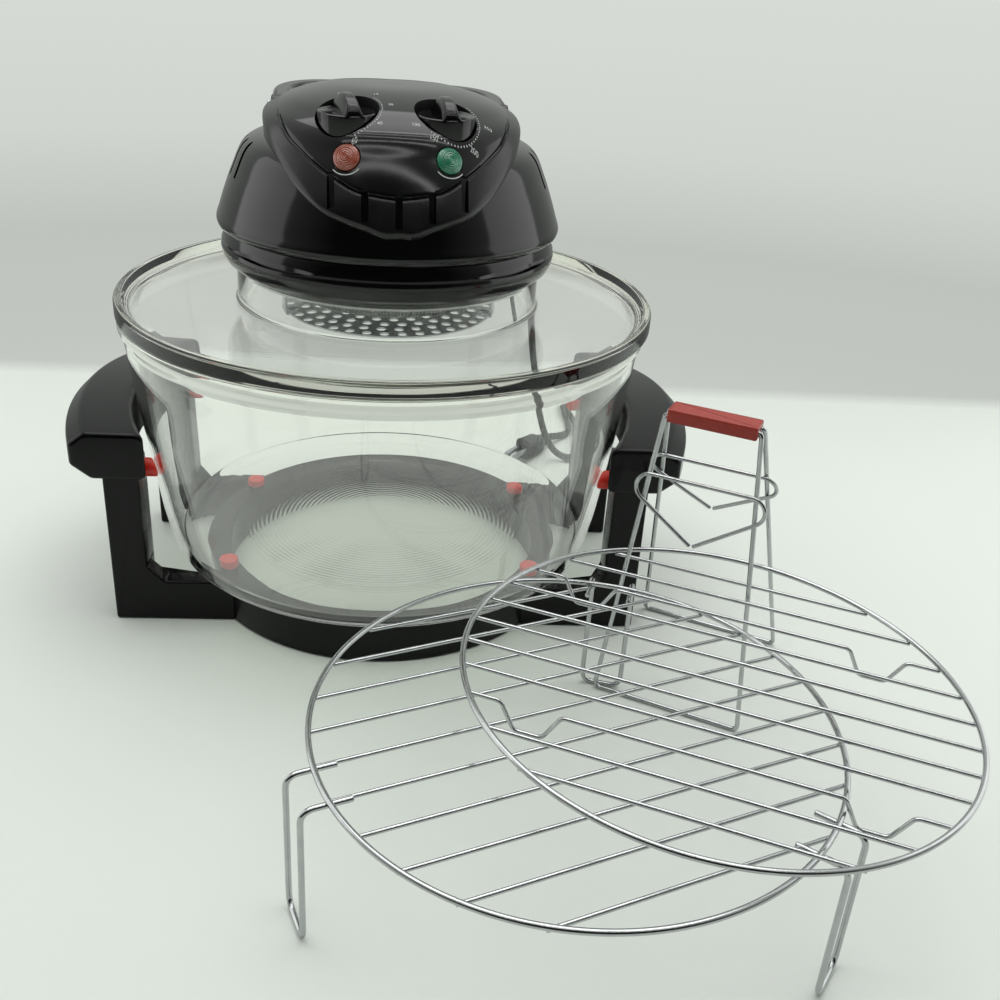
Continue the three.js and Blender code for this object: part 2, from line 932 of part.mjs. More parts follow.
const controls = sides.map(([side, sx]) => ({
  side,
  knob: seatOn(sx * knobOffset, -knobForward, knobAxis),
  lamp: seatOn(sx * lampOffset, -lampForward),
}));
const recessTools = controls.flatMap(({ knob, lamp }) => [
  disc(knobRadius + knobRecessGap, -knobRecess, 3 * knobRecess).applyMatrix4(knob.matrix),
  disc(knobStem + running, -knobRecess - knobStemLength - running, 0, smallSides)
    .applyMatrix4(knob.matrix),
  disc(lampRadius + seat, -lampDepth - seat, 3 * lampDepth, smallSides)
    .applyMatrix4(lamp.matrix),
]);

const bailPivotHeight = housingBase + bailPivotRise;
const bailInnerHalf = bailOuterHalf - bailArmWidth;
const pinTools = sides.map(([, sx]) =>
  disc(pinRadius + seat, bailInnerHalf - 1.5 * pinInPanel, bailInnerHalf + overrun, smallSides)
    .rotateY(sx * quarter)
    .translate(0, bailPivotY, bailPivotHeight));

const bailWells = sides.map(([, sx]) => box(
  bailInnerHalf - running,
  bailOuterHalf + 2 * overrun,
  bailPivotY - bailHalfThickness - running,
  panelLength / 2,
  bailPivotHeight - bailHalfThickness - running,
  bailPivotHeight + 2 * bailHalfThickness,
).scale(sx, 1, 1));

const lowered = (depth) => domeSolid(offset(panelDome, -depth));
piece('control_panel', cut(
  common(onSlope(prism(panelOutline, -reach / 2, reach)), domeSolid(panelDome)),
  revolve([
    [0, housingBase - overrun],
    [housingRadius + seat, housingBase - overrun],
    ...offset(housingOutside, seat),
  ]),
  cut(onSlope(prism(groove, -reach / 2, reach)), lowered(grooveDepth)),
  ...slotTools.map((outline) =>
    cut(onSlope(prism(outline, -reach / 2, reach)), lowered(panelSlotDepth))),
  ...recessTools,
  ...pinTools,
  ...bailWells,
), greyPanel, head);

// Knobs and lamps, each seated in its recess
const arch = [[-knobRadius, -seat], [knobRadius, -seat]];
for (let i = 0; i <= gripSteps; i += 1) {
  const angle = (Math.PI * i) / gripSteps;
  arch.push([knobRadius * Math.cos(angle), gripHeight * Math.sin(angle)]);
}
const grip = common(
  upright([
    [-gripWidth / 2, -seat],
    [gripWidth / 2, -seat],
    [gripTop / 2, gripHeight],
    [-gripTop / 2, gripHeight],
  ], -knobRadius, knobRadius),
  upright(arch, -gripWidth, gripWidth).rotateZ(quarter),
);
const knobShape = (turn) => join(
  disc(knobRadius, seat - knobRecess, 0),
  grip,
  disc(knobStem, -knobRecess - knobStemLength, -seat, smallSides),
).rotateZ(rad(turn));
const lampShape = revolve([
  [0, -lampDepth],
  [lampRadius, -lampDepth],
  [lampRadius, 0],
  [lampRadius * Math.cos(quarter / 3), lampDome / 2],
  [lampRadius * Math.sin(quarter / 3), lampDome * Math.cos(quarter / 3)],
  [0, lampDome],
], smallSides);
for (const { side, knob, lamp } of controls) {
  head.add(knob, lamp);
  const left = side === 'left';
  piece(left ? 'timer_knob' : 'thermostat_knob', knobShape(left ? leftGripTurn : rightGripTurn),
    blackPlastic, knob);
  piece(left ? 'power_lamp' : 'heat_lamp', lampShape, left ? amberLens : greenLens, lamp);
}

// Folding carry handle on two pins
const flipped = (half) => half.map(([x, y]) => [-x, y]).reverse();
const bailOuter = [[bailOuterHalf, 0]];
const bailInner = [[bailInnerHalf, 0]];
const bailInnerCorner = bailCorner - bailBarWidth;
for (let i = 0; i <= bailSteps; i += 1) {
  const angle = (quarter * i) / bailSteps;
  bailOuter.push([
    bailOuterHalf - bailCorner + bailCorner * Math.cos(angle),
    bailReach - bailCorner + bailCorner * Math.sin(angle),
  ]);
  bailInner.push([
    bailInnerHalf - bailInnerCorner + bailInnerCorner * Math.cos(angle),
    bailReach - bailBarWidth - bailInnerCorner + bailInnerCorner * Math.sin(angle),
  ]);
}
const bailOutline = [
  ...bailOuter,
  ...flipped(bailOuter),
  ...flipped(bailInner).reverse(),
  ...bailInner.reverse(),
];
const bail = new THREE.Group();
bail.position.set(0, bailPivotY, bailPivotHeight);
bail.rotation.x = rad(bailRest);
head.add(bail);
const knuckles = sides.map(([, sx]) =>
  disc(bailHalfThickness, bailInnerHalf, bailOuterHalf, smallSides).rotateY(sx * quarter));
const bailBores = sides.map(([, sx]) =>
  disc(pinRadius + seat, bailInnerHalf - overrun, bailOuterHalf + overrun, smallSides)
    .rotateY(sx * quarter));
piece('carry_handle', cut(
  join(
    prism(bailOutline, -bailHalfThickness, bailHalfThickness),
    ...knuckles,
  ),
  ...bailBores,
), blackPlastic, bail);
for (const [side, sx] of sides) {
  const from = bailInnerHalf - pinInPanel;
  piece(`handle_pin_${side}`, disc(pinRadius, from, from + pinLength, smallSides)
    .rotateY(sx * quarter)
    .translate(0, bailPivotY, bailPivotHeight), steel, head);
}

// Deck with posts, motor, shaft and both fans
const deckBase = collarBase + collarFloor + seat;
const deckTop = deckBase + deckThickness;
const postTools = [];
for (let i = 0; i < posts; i += 1) {
  const angle = (2 * Math.PI * i) / posts + quarter;
  postTools.push(disc(postRadius, deckBase + deckThickness / 2, deckTop + postHeight, smallSides)
    .translate(postCircle * Math.cos(angle), postCircle * Math.sin(angle), 0));
}
piece('motor_deck', join(
  revolve([
    [shaftHoleRadius, deckBase],
    [collarInside * flatShare - seat, deckBase],
    [collarInside * flatShare - seat, deckTop],
    [shaftHoleRadius, deckTop],
  ], plateSides),
  ...postTools,
), steel, head);

const motorBase = deckTop + postHeight + seat;
const motorBore = shaftRadius + running;
piece('fan_motor', revolve([
  [motorBore, motorBase],
  [motorFlangeRadius, motorBase],
  [motorFlangeRadius, motorBase + motorFlange],
  [motorRadius, motorBase + motorFlange],
  [motorRadius, motorBase + motorHeight - motorEdge],
  [motorRadius - motorEdge, motorBase + motorHeight],
  [0, motorBase + motorHeight],
  [0, motorBase + shaftInMotor + running],
  [motorBore, motorBase + shaftInMotor + running],
], turnedSides), steel, head);

const panTop = collarBase - spigotDepth - seat;
const panCentre = panTop + panDepth;
const panUnderside = panCentre - panSheet;
const shaftBottom = panUnderside - shaftBelowPan;
piece('fan_shaft', disc(shaftRadius, shaftBottom, motorBase + shaftInMotor, smallSides),
  steel, head);

function fan(radius, blades, low) {
  const vanes = [];
  for (let i = 0; i < blades; i += 1) {
    const vane = new THREE.BoxGeometry(radius - hubRadius / 2, bladeThickness, bladeHeight)
      .rotateX(rad(bladeLean))
      .translate((radius + hubRadius / 2) / 2, 0, low + hubHeight / 2)
      .rotateZ((2 * Math.PI * i) / blades);
    vanes.push(vane);
  }
  return cut(
    join(disc(hubRadius, low, low + hubHeight, smallSides), ...vanes),
    disc(shaftRadius + seat, low - overrun, low + hubHeight + overrun, smallSides),
  );
}
piece('cooling_fan', fan(coolingFanRadius, coolingBlades, deckTop + coolingFanLift),
  aluminium, head);
piece('convection_fan',
  fan(convectionFanRadius, convectionBlades, panUnderside - convectionFanDrop - hubHeight),
  aluminium, head);

// Reflector pan under the collar's spigot
const panOuter = spigotRadius - seat;
piece('reflector_pan', revolve([
  [panOuter, panTop - panSheet],
  [panOuter, panTop],
  [panOuter - panLip, panTop],
  [panOuter - 1.4 * panLip, panCentre],
  [shaftHoleRadius, panCentre],
  [shaftHoleRadius, panUnderside],
  [panOuter - 1.6 * panLip, panUnderside],
  [panOuter - 1.2 * panLip, panTop - panSheet],
], plateSides), aluminium, head);

// Ring lamp with both ends turned up into a ceramic socket
const heaterHeight = panUnderside - heaterDrop;
const ringPoint = (angle, z) => [
  heaterCircle * Math.cos(rad(angle)),
  heaterCircle * Math.sin(rad(angle)),
  z,
];
const socketBase = panUnderside - seat - socketHeight;
const heaterEnd = 90 + heaterGap / 2;
const heaterTop = socketBase + socketBore - seat;
const ringSteps = 22;
const heaterPath = [ringPoint(heaterEnd, heaterTop), ringPoint(heaterEnd, heaterHeight)];
for (let i = 1; i < ringSteps; i += 1) {
  heaterPath.push(ringPoint(heaterEnd + ((360 - heaterGap) * i) / ringSteps, heaterHeight));
}
heaterPath.push(ringPoint(heaterEnd - heaterGap, heaterHeight));
heaterPath.push(ringPoint(heaterEnd - heaterGap, heaterTop));
const bentEnds = (path) => [
  ...rounded(path.slice(0, 3), heaterBend / 2).slice(0, -1),
  ...path.slice(2, -2),
  ...rounded(path.slice(-3), heaterBend / 2).slice(1),
];
piece('heater_tube', wire(bentEnds(heaterPath), heaterRadius), quartz, head);
const endX = heaterCircle * Math.sin(rad(heaterGap / 2));
const endY = heaterCircle * Math.cos(rad(heaterGap / 2));
const socketTools = [-1, 1].map((sx) =>
  disc(heaterRadius + seat, socketBase - overrun, socketBase + socketBore, smallSides)
    .translate(sx * endX, endY, 0));
piece('heater_socket', cut(
  box(
    -socketHalfWidth,
    socketHalfWidth,
    endY - socketDepth / 2,
    endY + socketDepth / 2,
    socketBase,
    socketBase + socketHeight,
  ),
  ...socketTools,
), ceramic, head);

// Perforated guard: rings of holes on a triangular pattern
const guardTop = panUnderside - guardDrop;
const guardHoles = [];
for (let q = -guardRings; q <= guardRings; q += 1) {
  for (let r = -guardRings; r <= guardRings; r += 1) {
    if (Math.abs(q + r) > guardRings) continue;
    const x = guardPitch * (q + r / 2);
    const y = guardPitch * r * Math.sin(Math.PI / 3);
    const hole = [];
    for (let i = 0; i < guardHoleSides; i += 1) {
      const angle = (2 * Math.PI * i) / guardHoleSides;
      hole.push([x + guardHoleRadius * Math.cos(angle), y + guardHoleRadius * Math.sin(angle)]);
    }
    guardHoles.push(hole);
  }
}
const circle = (radius, count) => Array.from({ length: count }, (_, i) => {
  const angle = (2 * Math.PI * i) / count;
  return [radius * Math.cos(angle), radius * Math.sin(angle)];
});
piece('heater_guard',
  prism(circle(guardRadius, plateSides), guardTop - guardThickness, guardTop, guardHoles),
  steel, head);
const bracketTop = panUnderside - seat;
const bracketIn = guardRadius + seat;
const hookTop = guardTop - guardThickness - seat;
const bracketOutline = [
  [bracketIn, bracketTop],
  [bracketIn, hookTop],
  [bracketIn - bracketHook, hookTop],
  [bracketIn - bracketHook, hookTop - bracketSheet],
  [bracketIn + bracketSheet, hookTop - bracketSheet],
  [bracketIn + bracketSheet, bracketTop - bracketSheet],
  [bracketIn + bracketFoot, bracketTop - bracketSheet],
  [bracketIn + bracketFoot, bracketTop],
];
bracketAngles.forEach((angle, i) => {
  piece(`guard_bracket_${i + 1}`,
    upright(bracketOutline, -bracketWidth / 2, bracketWidth / 2).rotateZ(rad(angle)),
    steel, head);
});
head.rotation.z = rad(headTurn);
lid.add(head);
oven.add(lid);

// Racks
function rackWires(count, pitch, wirePath) {
  const made = [];
  for (let i = 0; i < count; i += 1) {
    const across = (i - (count - 1) / 2) * pitch;
    const half = Math.sqrt(rackRadius ** 2 - across ** 2);
    made.push(wire(wirePath(across, half), rackWire));
  }
  return made;
}
const rackRing = () => new THREE.TorusGeometry(rackRadius, rackRingWire, wireSides, roundSides);

// High rack: straight wires under a ring, on three hairpin legs
const highRack = new THREE.Group();
highRack.position.set(highRackX, highRackY, highRackHeight);
highRack.rotation.z = rad(highRackTurn);
const legTop = -rackDrop;
const legBottom = rackRingWire - highRackHeight;
const hairpinHalf = highRackPitch / 2;
const hairpin = rounded([
  [rackRadius - highLegIn, -hairpinHalf, legTop],
  [rackRadius + highLegOut, -hairpinHalf, legTop],
  [rackRadius + highLegOut, -hairpinHalf, legBottom],
  [rackRadius + highLegOut, hairpinHalf, legBottom],
  [rackRadius + highLegOut, hairpinHalf, legTop],
  [rackRadius - highLegIn, hairpinHalf, legTop],
], highLegBend, 2);
const hairpins = highLegAngles.map((angle) =>
  wire(hairpin, rackRingWire).rotateZ(rad(angle - highRackTurn)));
piece('high_rack', join(
  rackRing(),
  ...rackWires(highRackWires, highRackPitch, (across, half) => [
    [-half, across, -rackDrop],
    [half, across, -rackDrop],
  ]),
  ...hairpins,
), chrome, highRack);
oven.add(highRack);

// Low rack: two of its wires dip into feet, and it leans on the high rack
const lowRack = new THREE.Group();
lowRack.position.set(lowRackX, lowRackY, lowRackHeight);
lowRack.rotation.y = rad(lowRackSlope);
const lowPlane = new THREE.Group();
lowPlane.rotation.z = rad(lowRackTurn);
lowRack.add(lowPlane);
const footAcross = lowFootWireShare * lowRackPitch;
function lowWire(across, half) {
  if (Math.abs(Math.abs(across) - footAcross) > lowRackPitch / 2) {
    return [[-half, across, 0], [half, across, 0]];
  }
  const corners = [[-half, across, 0]];
  for (const centre of [-lowFootAlong, lowFootAlong]) {
    corners.push(
      [centre - lowFootHalf, across, 0],
      [centre - lowFootFlat, across, -lowFootDepth],
      [centre + lowFootFlat, across, -lowFootDepth],
      [centre + lowFootHalf, across, 0],
    );
  }
  corners.push([half, across, 0]);
  return rounded(corners, lowFootBend, 2);
}
piece('low_rack', join(
  rackRing().translate(0, 0, rackDrop),
  ...rackWires(lowRackWires, lowRackPitch, lowWire),
), chrome, lowPlane);
oven.add(lowRack);

// Tongs: two sprung wire frames hinged in the ends of a painted block
const tongs = new THREE.Group();
tongs.position.set(tongX, tongY, tongBlockBottom);
tongs.rotation.z = rad(tongTurn);
oven.add(tongs);
const pivotHeight = tongBlockHeight / 2;
const legX = tongBlockLength / 2 + seat + tongWire;
const pivotBores = sides.flatMap(([, sx]) => ends.map(([, sy]) =>
  disc(tongWire + running, tongBlockLength / 2 - tongPivotDepth - running,
    tongBlockLength / 2 + overrun, smallSides)
    .rotateY(sx * quarter)
    .translate(0, sy * tongPivotOffset, pivotHeight)));
const blockShape = new THREE.Shape();
const blockHalf = tongBlockDepth / 2 - tongBlockEdge;
const blockRise = tongBlockHeight - tongBlockEdge;
blockShape.setFromPoints([
  [-blockHalf, 0],
  [blockHalf, 0],
  [tongBlockDepth / 2, tongBlockEdge],
  [tongBlockDepth / 2, blockRise],
  [blockHalf, tongBlockHeight],
  [-blockHalf, tongBlockHeight],
  [-tongBlockDepth / 2, blockRise],
  [-tongBlockDepth / 2, tongBlockEdge],
].map(([x, y]) => new THREE.Vector2(x, y)));
piece('tong_grip', cut(
  new THREE.ExtrudeGeometry(blockShape, { depth: tongBlockLength, bevelEnabled: false })
    .translate(0, 0, -tongBlockLength / 2)
    .rotateX(quarter)
    .rotateZ(quarter),
  ...pivotBores,
), redPaint, tongs);

// One frame in its own plane: local x across, local z up from the pivot, standing on its foot
function tongFrame(lean) {
  const drop = (tongBlockBottom + pivotHeight - tongWire) / Math.cos(rad(lean));
  const foot = tongFootLength / 2;
  const ring = rounded([
    [-tongBlockLength / 2 + tongPivotDepth, 0, 0],
    [-legX, 0, 0],
    [-foot, 0, -drop],
    [foot, 0, -drop],
    [legX, 0, 0],
    [tongBlockLength / 2 - tongPivotDepth, 0, 0],
  ], tongWire * 2, 2);
  const side = -tongWire * 1.6;
  const loop = [[-loopSplit, side, -loopTip]];
  const arcPoints = 6;
  for (const sx of [-1, 1]) {
    const arc = [];
    for (let i = 0; i <= arcPoints; i += 1) {
      const angle = -rad(150) * (i / arcPoints) + quarter;
      arc.push([
        sx * (loopHalfStraight + loopEnd * Math.cos(angle)),
        side,
        -loopTop - loopEnd + loopEnd * Math.sin(angle),
      ]);
    }
    loop.push(...(sx < 0 ? arc.reverse() : arc));
  }
  loop.push([loopSplit, side, -loopTip]);
  return join(wire(ring, tongWire), wire(loop, tongWire * 0.85));
}
for (const [end, sy] of ends) {
  const frame = new THREE.Group();
  frame.position.set(0, sy * tongPivotOffset, pivotHeight);
  frame.rotation.x = rad(end === 'front' ? tongFrontLean : tongRearLean);
  tongs.add(frame);
  const shape = tongFrame(end === 'front' ? tongFrontLean : tongRearLean);
  piece(`tong_frame_${end}`, shape, chrome, frame);
}

// Mains cord: strain relief, free stretch, hank and plug, all riding on the lid
const turned = (angle, dip) => new THREE.Vector3(
  Math.cos(rad(angle)) * Math.cos(rad(dip)),
  Math.sin(rad(angle)) * Math.cos(rad(dip)),
  -Math.sin(rad(dip)),
);
const along = (start, way, distance) => start.clone().addScaledVector(way, distance);
const cordExit = turned(reliefAngle, reliefDip);
const reliefStart = turned(reliefAngle, 0).multiplyScalar(housingRadius - reliefSunk);
reliefStart.z = housingBase + reliefRise;
const reliefEnd = reliefSunk + reliefLength;
const reliefProfile = [[0, 0], [reliefRoot, 0], [reliefRoot, reliefSunk + reliefGroove * 2]];
const ribLength = (reliefEnd - reliefSunk) / (reliefRibs + 1);
for (let i = 0; i < reliefRibs; i += 1) {
  const share = (i + 1) / (reliefRibs + 1);
  const radius = reliefRoot + (reliefTip - reliefRoot) * share;
  const from = reliefSunk + ribLength * (i + 1);
  reliefProfile.push([radius - reliefGroove, from - ribLength / 2], [radius, from]);
}
reliefProfile.push([reliefTip, reliefEnd], [0, reliefEnd]);
const placed = (geometry, start, way) => geometry.applyMatrix4(
  new THREE.Matrix4().compose(
    start,
    new THREE.Quaternion().setFromUnitVectors(upward, way),
    new THREE.Vector3(1, 1, 1),
  ),
);
cordPieces.add('strain_relief').add('cord').add('cord_hank').add('plug');
piece('strain_relief', cut(
  placed(revolve(reliefProfile, smallSides), reliefStart, cordExit),
  revolve([
    [0, housingBase - overrun],
    [housingRadius + seat, housingBase - overrun],
    ...offset(housingOutside, seat),
  ]).rotateZ(rad(headTurn)),
), cordRubber, lid);

function smoothRoute(points, step) {
  const curve = new THREE.CatmullRomCurve3(points, false, 'centripetal');
  return curve.getSpacedPoints(Math.round(curve.getLength() / step)).map((p) => p.toArray());
}
const cordStart = along(reliefStart, cordExit, reliefEnd + seat);
const hankRadiusAt = (turn) => hankFold + hankPitch * Math.abs(turn - hankTurnBack);
const smoothly = (share) => THREE.MathUtils.smoothstep(share, 0, 1);
const placeOnLoop = (turn) => {
  const radius = hankRadiusAt(turn);
  const bend = Math.PI * radius;
  const travelled = (turn - Math.floor(turn)) * 2 * (hankRun + bend);
  const beyond = travelled - bend / 2;
  if (beyond < 0) return [radius, travelled / radius - quarter, -hankRun / 2, 0];
  if (beyond < hankRun) return [radius, 0, beyond - hankRun / 2, beyond];
  if (beyond < hankRun + bend) return [radius, (beyond - hankRun) / radius, hankRun / 2, 0];
  const back = beyond - hankRun - bend;
  if (back < hankRun) return [radius, Math.PI, hankRun / 2 - back, back];
  return [radius, Math.PI + (back - hankRun) / radius, -hankRun / 2, 0];
};
function hankPoint(turn) {
  const [radius, angle, middle, run] = placeOnLoop(turn);
  const waist = hankWaist * Math.sin((Math.PI * run) / hankRun) ** 2;
  const climb = smoothly((turn - hankTurnBack) * 2 + 1 / 2);
  const settle = smoothly((turn - hankTurns + hankSettle) / hankSettle);
  return new THREE.Vector3(
    hankX + Math.cos(angle) * (radius - waist),
    hankY + middle + radius * Math.sin(angle),
    hankFloor + hankLayer * climb * (1 - settle),
  );
}
const hankStart = hankPoint(0);
const leadIn = hankStart.clone().setX(hankStart.x - 2 * cordRadius);
const cordEnd = leadIn.clone().setX(leadIn.x - seat);
const freeRoute = smoothRoute([
  along(cordStart, cordExit, 4 * cordRadius),
  ...cordWay.map((point) => new THREE.Vector3(...point)),
  cordEnd.clone().setX(cordEnd.x - 2 * cordRadius),
], cordStep);
piece('cord', wire([cordStart.toArray(), ...freeRoute, cordEnd.toArray()], cordRadius, cordSides), cordRubber, lid);

const plugWay = turned(plugAngle, 0);
const plugAt = new THREE.Vector3(plugX, plugY, plugHeight / 2 + seat);
const hankPath = [leadIn.toArray()];
const hankCount = hankTurns * hankSteps;
for (let i = 0; i <= hankCount; i += 1) hankPath.push(hankPoint(i / hankSteps).toArray());
const tailEnd = along(plugAt, plugWay, -seat);
const tail = smoothRoute([
  hankPoint(hankTurns),
  ...tailWay.map((point) => new THREE.Vector3(...point)),
  along(tailEnd, plugWay, -2 * cordRadius),
], cordStep / 2);
hankPath.push(...tail.slice(1), tailEnd.toArray());
piece('cord_hank', wire(hankPath, cordRadius, hankSides), cordRubber, lid);

const flat = (half, x) => [[x, -half], [x, half]];
const plugOutline = [
  flat(plugRear, 0),
  flat(plugRear, plugNeck),
  flat(plugWidth / 2, plugNeck + plugRear),
  flat(plugWidth / 2 - 1, plugNeck + plugBody),
];
const plugSide = [...plugOutline.map((pair) => pair[0]), ...plugOutline.map((pair) => pair[1]).reverse()];
const plugTop = [
  [0, -plugRear],
  [plugNeck, -plugRear],
  [plugNeck + plugRear, -plugHeight / 2],
  [plugNeck + plugBody, -plugHeight / 2],
  [plugNeck + plugBody, plugHeight / 2],
  [plugNeck + plugRear, plugHeight / 2],
  [plugNeck, plugRear],
  [0, plugRear],
];
const plugPins = [-1, 1].map((side) =>
  disc(plugPinRadius, plugNeck + plugBody - overrun, plugNeck + plugBody + plugPinLength, smallSides)
    .rotateY(quarter)
    .translate(0, (side * pinSpacing) / 2, 0));
piece('plug', join(
  common(
    prism(plugSide, -plugHeight, plugHeight),
    upright(plugTop, -plugWidth, plugWidth),
  ),
  ...plugPins,
).rotateZ(rad(plugAngle)).translate(plugAt.x, plugAt.y, plugAt.z), cordRubber, lid);

function leastGap(path, radius) {
  const fine = new THREE.CatmullRomCurve3(path.map((point) => new THREE.Vector3(...point)));
  const count = path.length * 8;
  const points = fine.getSpacedPoints(count);
  const apart = Math.ceil((6 * radius * count) / fine.getLength());
  let least = Infinity;
  for (let i = 0; i < points.length; i += 1) {
    for (let k = i + apart; k < points.length; k += 1) {
      least = Math.min(least, points[i].distanceTo(points[k]));
    }
  }
  return least - 2 * radius;
}
console.log(`hank: least gap between turns ${leastGap(hankPath, cordRadius).toFixed(2)} mm`);

// The group stands centred on its own footprint
oven.updateMatrixWorld(true);
const footprint = new THREE.Box3();
oven.traverse((child) => {
  if (child.isMesh && !cordPieces.has(child.name)) footprint.expandByObject(child, true);
});
const centre = footprint.getCenter(new THREE.Vector3());
oven.position.set(-centre.x, -centre.y, 0);

export default oven;
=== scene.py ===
# %% [markdown]
# # A glass bowl oven, its racks and its tongs
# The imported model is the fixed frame. Every surface here is worked out with numpy, as a grid
# of points with two parameters, in the millimetres of the workshop drawing, and is then laid
# over the solid that it stands for. That keeps the whole shape readable as a formula.

import bmesh
import bpy
import numpy as np
from mathutils import Matrix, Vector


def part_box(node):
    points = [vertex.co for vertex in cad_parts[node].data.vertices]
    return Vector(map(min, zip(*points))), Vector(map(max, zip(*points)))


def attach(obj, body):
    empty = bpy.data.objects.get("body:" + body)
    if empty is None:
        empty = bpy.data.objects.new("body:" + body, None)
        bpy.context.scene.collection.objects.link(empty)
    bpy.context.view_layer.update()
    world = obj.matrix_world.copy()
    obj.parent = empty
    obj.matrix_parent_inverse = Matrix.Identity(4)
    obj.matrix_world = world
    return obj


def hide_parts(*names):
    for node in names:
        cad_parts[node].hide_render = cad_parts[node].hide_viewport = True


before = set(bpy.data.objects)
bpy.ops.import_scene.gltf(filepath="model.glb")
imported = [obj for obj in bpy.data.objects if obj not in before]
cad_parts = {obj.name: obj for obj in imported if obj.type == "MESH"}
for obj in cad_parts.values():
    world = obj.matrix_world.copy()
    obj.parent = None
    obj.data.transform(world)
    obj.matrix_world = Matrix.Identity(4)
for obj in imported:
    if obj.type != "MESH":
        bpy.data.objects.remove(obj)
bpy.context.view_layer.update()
mm = 0.001
bowl_low, bowl_high = (np.array(corner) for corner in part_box("glass_bowl"))
bowl_axis = np.array([*((bowl_low + bowl_high)[:2] / 2), 0]) / mm
print("nodes", len(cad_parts), "bowl axis", bowl_axis.round(2))

# %% [markdown]
# ## Small tools for lines and surfaces
# Real moulded and bent pieces have no sharp corners. So the first tools round the corners of
# a line of points, or lead a smooth line through them. One more tool turns a grid of points
# into a closed mesh whose faces point out, because light, glass and shadows all depend on
# which side of a face is the outside.

# %% Lines
def unit(v):
    """Each vector divided by its own length."""
    return v / np.linalg.norm(v, axis=-1, keepdims=True)


def distinct(points):
    """The line without the points that repeat the one before."""
    step = np.linalg.norm(np.diff(points, axis=0), axis=1)
    return points[np.concatenate([[True], step > 1e-4])]


def eased(points, radius, steps=6, closed=False):
    """Every corner gives way to a parabola that touches both its sides. It starts and ends
    radius / tan(half the corner's angle) away from the corner, at most half a side."""
    p = np.asarray(points, float)
    to_last, to_next = np.roll(p, 1, 0) - p, np.roll(p, -1, 0) - p
    sides = np.linalg.norm([to_last, to_next], axis=-1)
    a, b = unit(to_last), unit(to_next)
    half = np.arccos(np.clip((a * b).sum(1), -1, 1)) / 2
    back = np.minimum(radius / np.tan(np.maximum(half, 1e-3)), 0.49 * sides.min(0))
    t = np.linspace(0, 1, steps)[None, :, None]
    enter, leave = (p + a * back[:, None])[:, None], (p + b * back[:, None])[:, None]
    bend = (1 - t) ** 2 * enter + 2 * t * (1 - t) * p[:, None] + t ** 2 * leave
    if closed:
        return distinct(bend.reshape(-1, p.shape[1]))
    return distinct(np.vstack([p[:1], bend[1:-1].reshape(-1, p.shape[1]), p[-1:]]))


def smooth(points, steps=8):
    """A cubic through all points. Its knots are the square roots of the distances, and its
    slope at a point is the mean of both neighbouring slopes, each weighted by the other span."""
    p = np.asarray(points, float)
    span = np.linalg.norm(np.diff(p, axis=0), axis=1) ** 0.5
    slope = np.diff(p, axis=0) / span[:, None]
    before, after = span[:-1, None], span[1:, None]
    inner = (slope[:-1] * after + slope[1:] * before) / (before + after)
    m = np.vstack([slope[:1], inner, slope[-1:]])
    t = np.linspace(0, 1, steps, endpoint=False)[None, :, None]
    h = span[:, None, None]
    q = ((2 * t ** 3 - 3 * t ** 2 + 1) * p[:-1, None] + (3 * t ** 2 - 2 * t ** 3) * p[1:, None]
         + (t ** 3 - 2 * t ** 2 + t) * h * m[:-1, None] + (t ** 3 - t ** 2) * h * m[1:, None])
    return np.vstack([q.reshape(-1, p.shape[1]), p[-1:]])


def ramp(x):
    """Zero below 0, one above 1, and 3x^2 - 2x^3 between them."""
    x = np.clip(x, 0, 1)
    return x * x * (3 - 2 * x)


def rectangle(half_x, half_y):
    """Four corners round a middle."""
    return np.array([[-half_x, -half_y], [half_x, -half_y], [half_x, half_y], [-half_x, half_y]])


def round_angles(count):
    """Even angles once round, in radians, without the first one again."""
    return np.linspace(0, 2 * np.pi, count, endpoint=False)


def circle(radius, count):
    """Points (r cos a, r sin a, 0) once round."""
    a = round_angles(count)
    return np.stack([radius * np.cos(a), radius * np.sin(a), 0 * a], 1)


# %% Surfaces
# The room between seated pieces, how far the row inside a flat face draws in, and the angle
# in degrees from which an edge shows as a crease.
seat, flat_margin, crease_angle = 0.3, 0.4, 32


def net(grid, ends="caps"):
    """Joins a grid of rows and columns by four-cornered faces. Columns close round. The ends
    are flat caps, or the last row joins the first. Faces are turned over where the volume
    that they enclose, the sum of a . (b x c) / 6 over their triangles, is below zero."""
    rows, columns = grid.shape[:2]
    index = np.arange(rows * columns).reshape(rows, columns)
    low = index if ends == "joined" else index[:-1]
    high = np.roll(index, -1, 0) if ends == "joined" else index[1:]
    quads = np.stack([low, np.roll(low, -1, 1), np.roll(high, -1, 1), high], -1).reshape(-1, 4)
    faces = [quads] if ends == "joined" else [quads, index[:1, ::-1], index[-1:]]
    points = grid.reshape(-1, 3)
    centred = points - points.mean(0)
    volume = sum((centred[f[:, :1]] * np.cross(centred[f[:, 1:-1]], centred[f[:, 2:]])).sum()
                 for f in faces)
    if volume < 0:
        faces = [f[:, ::-1] for f in faces]
    return points, faces


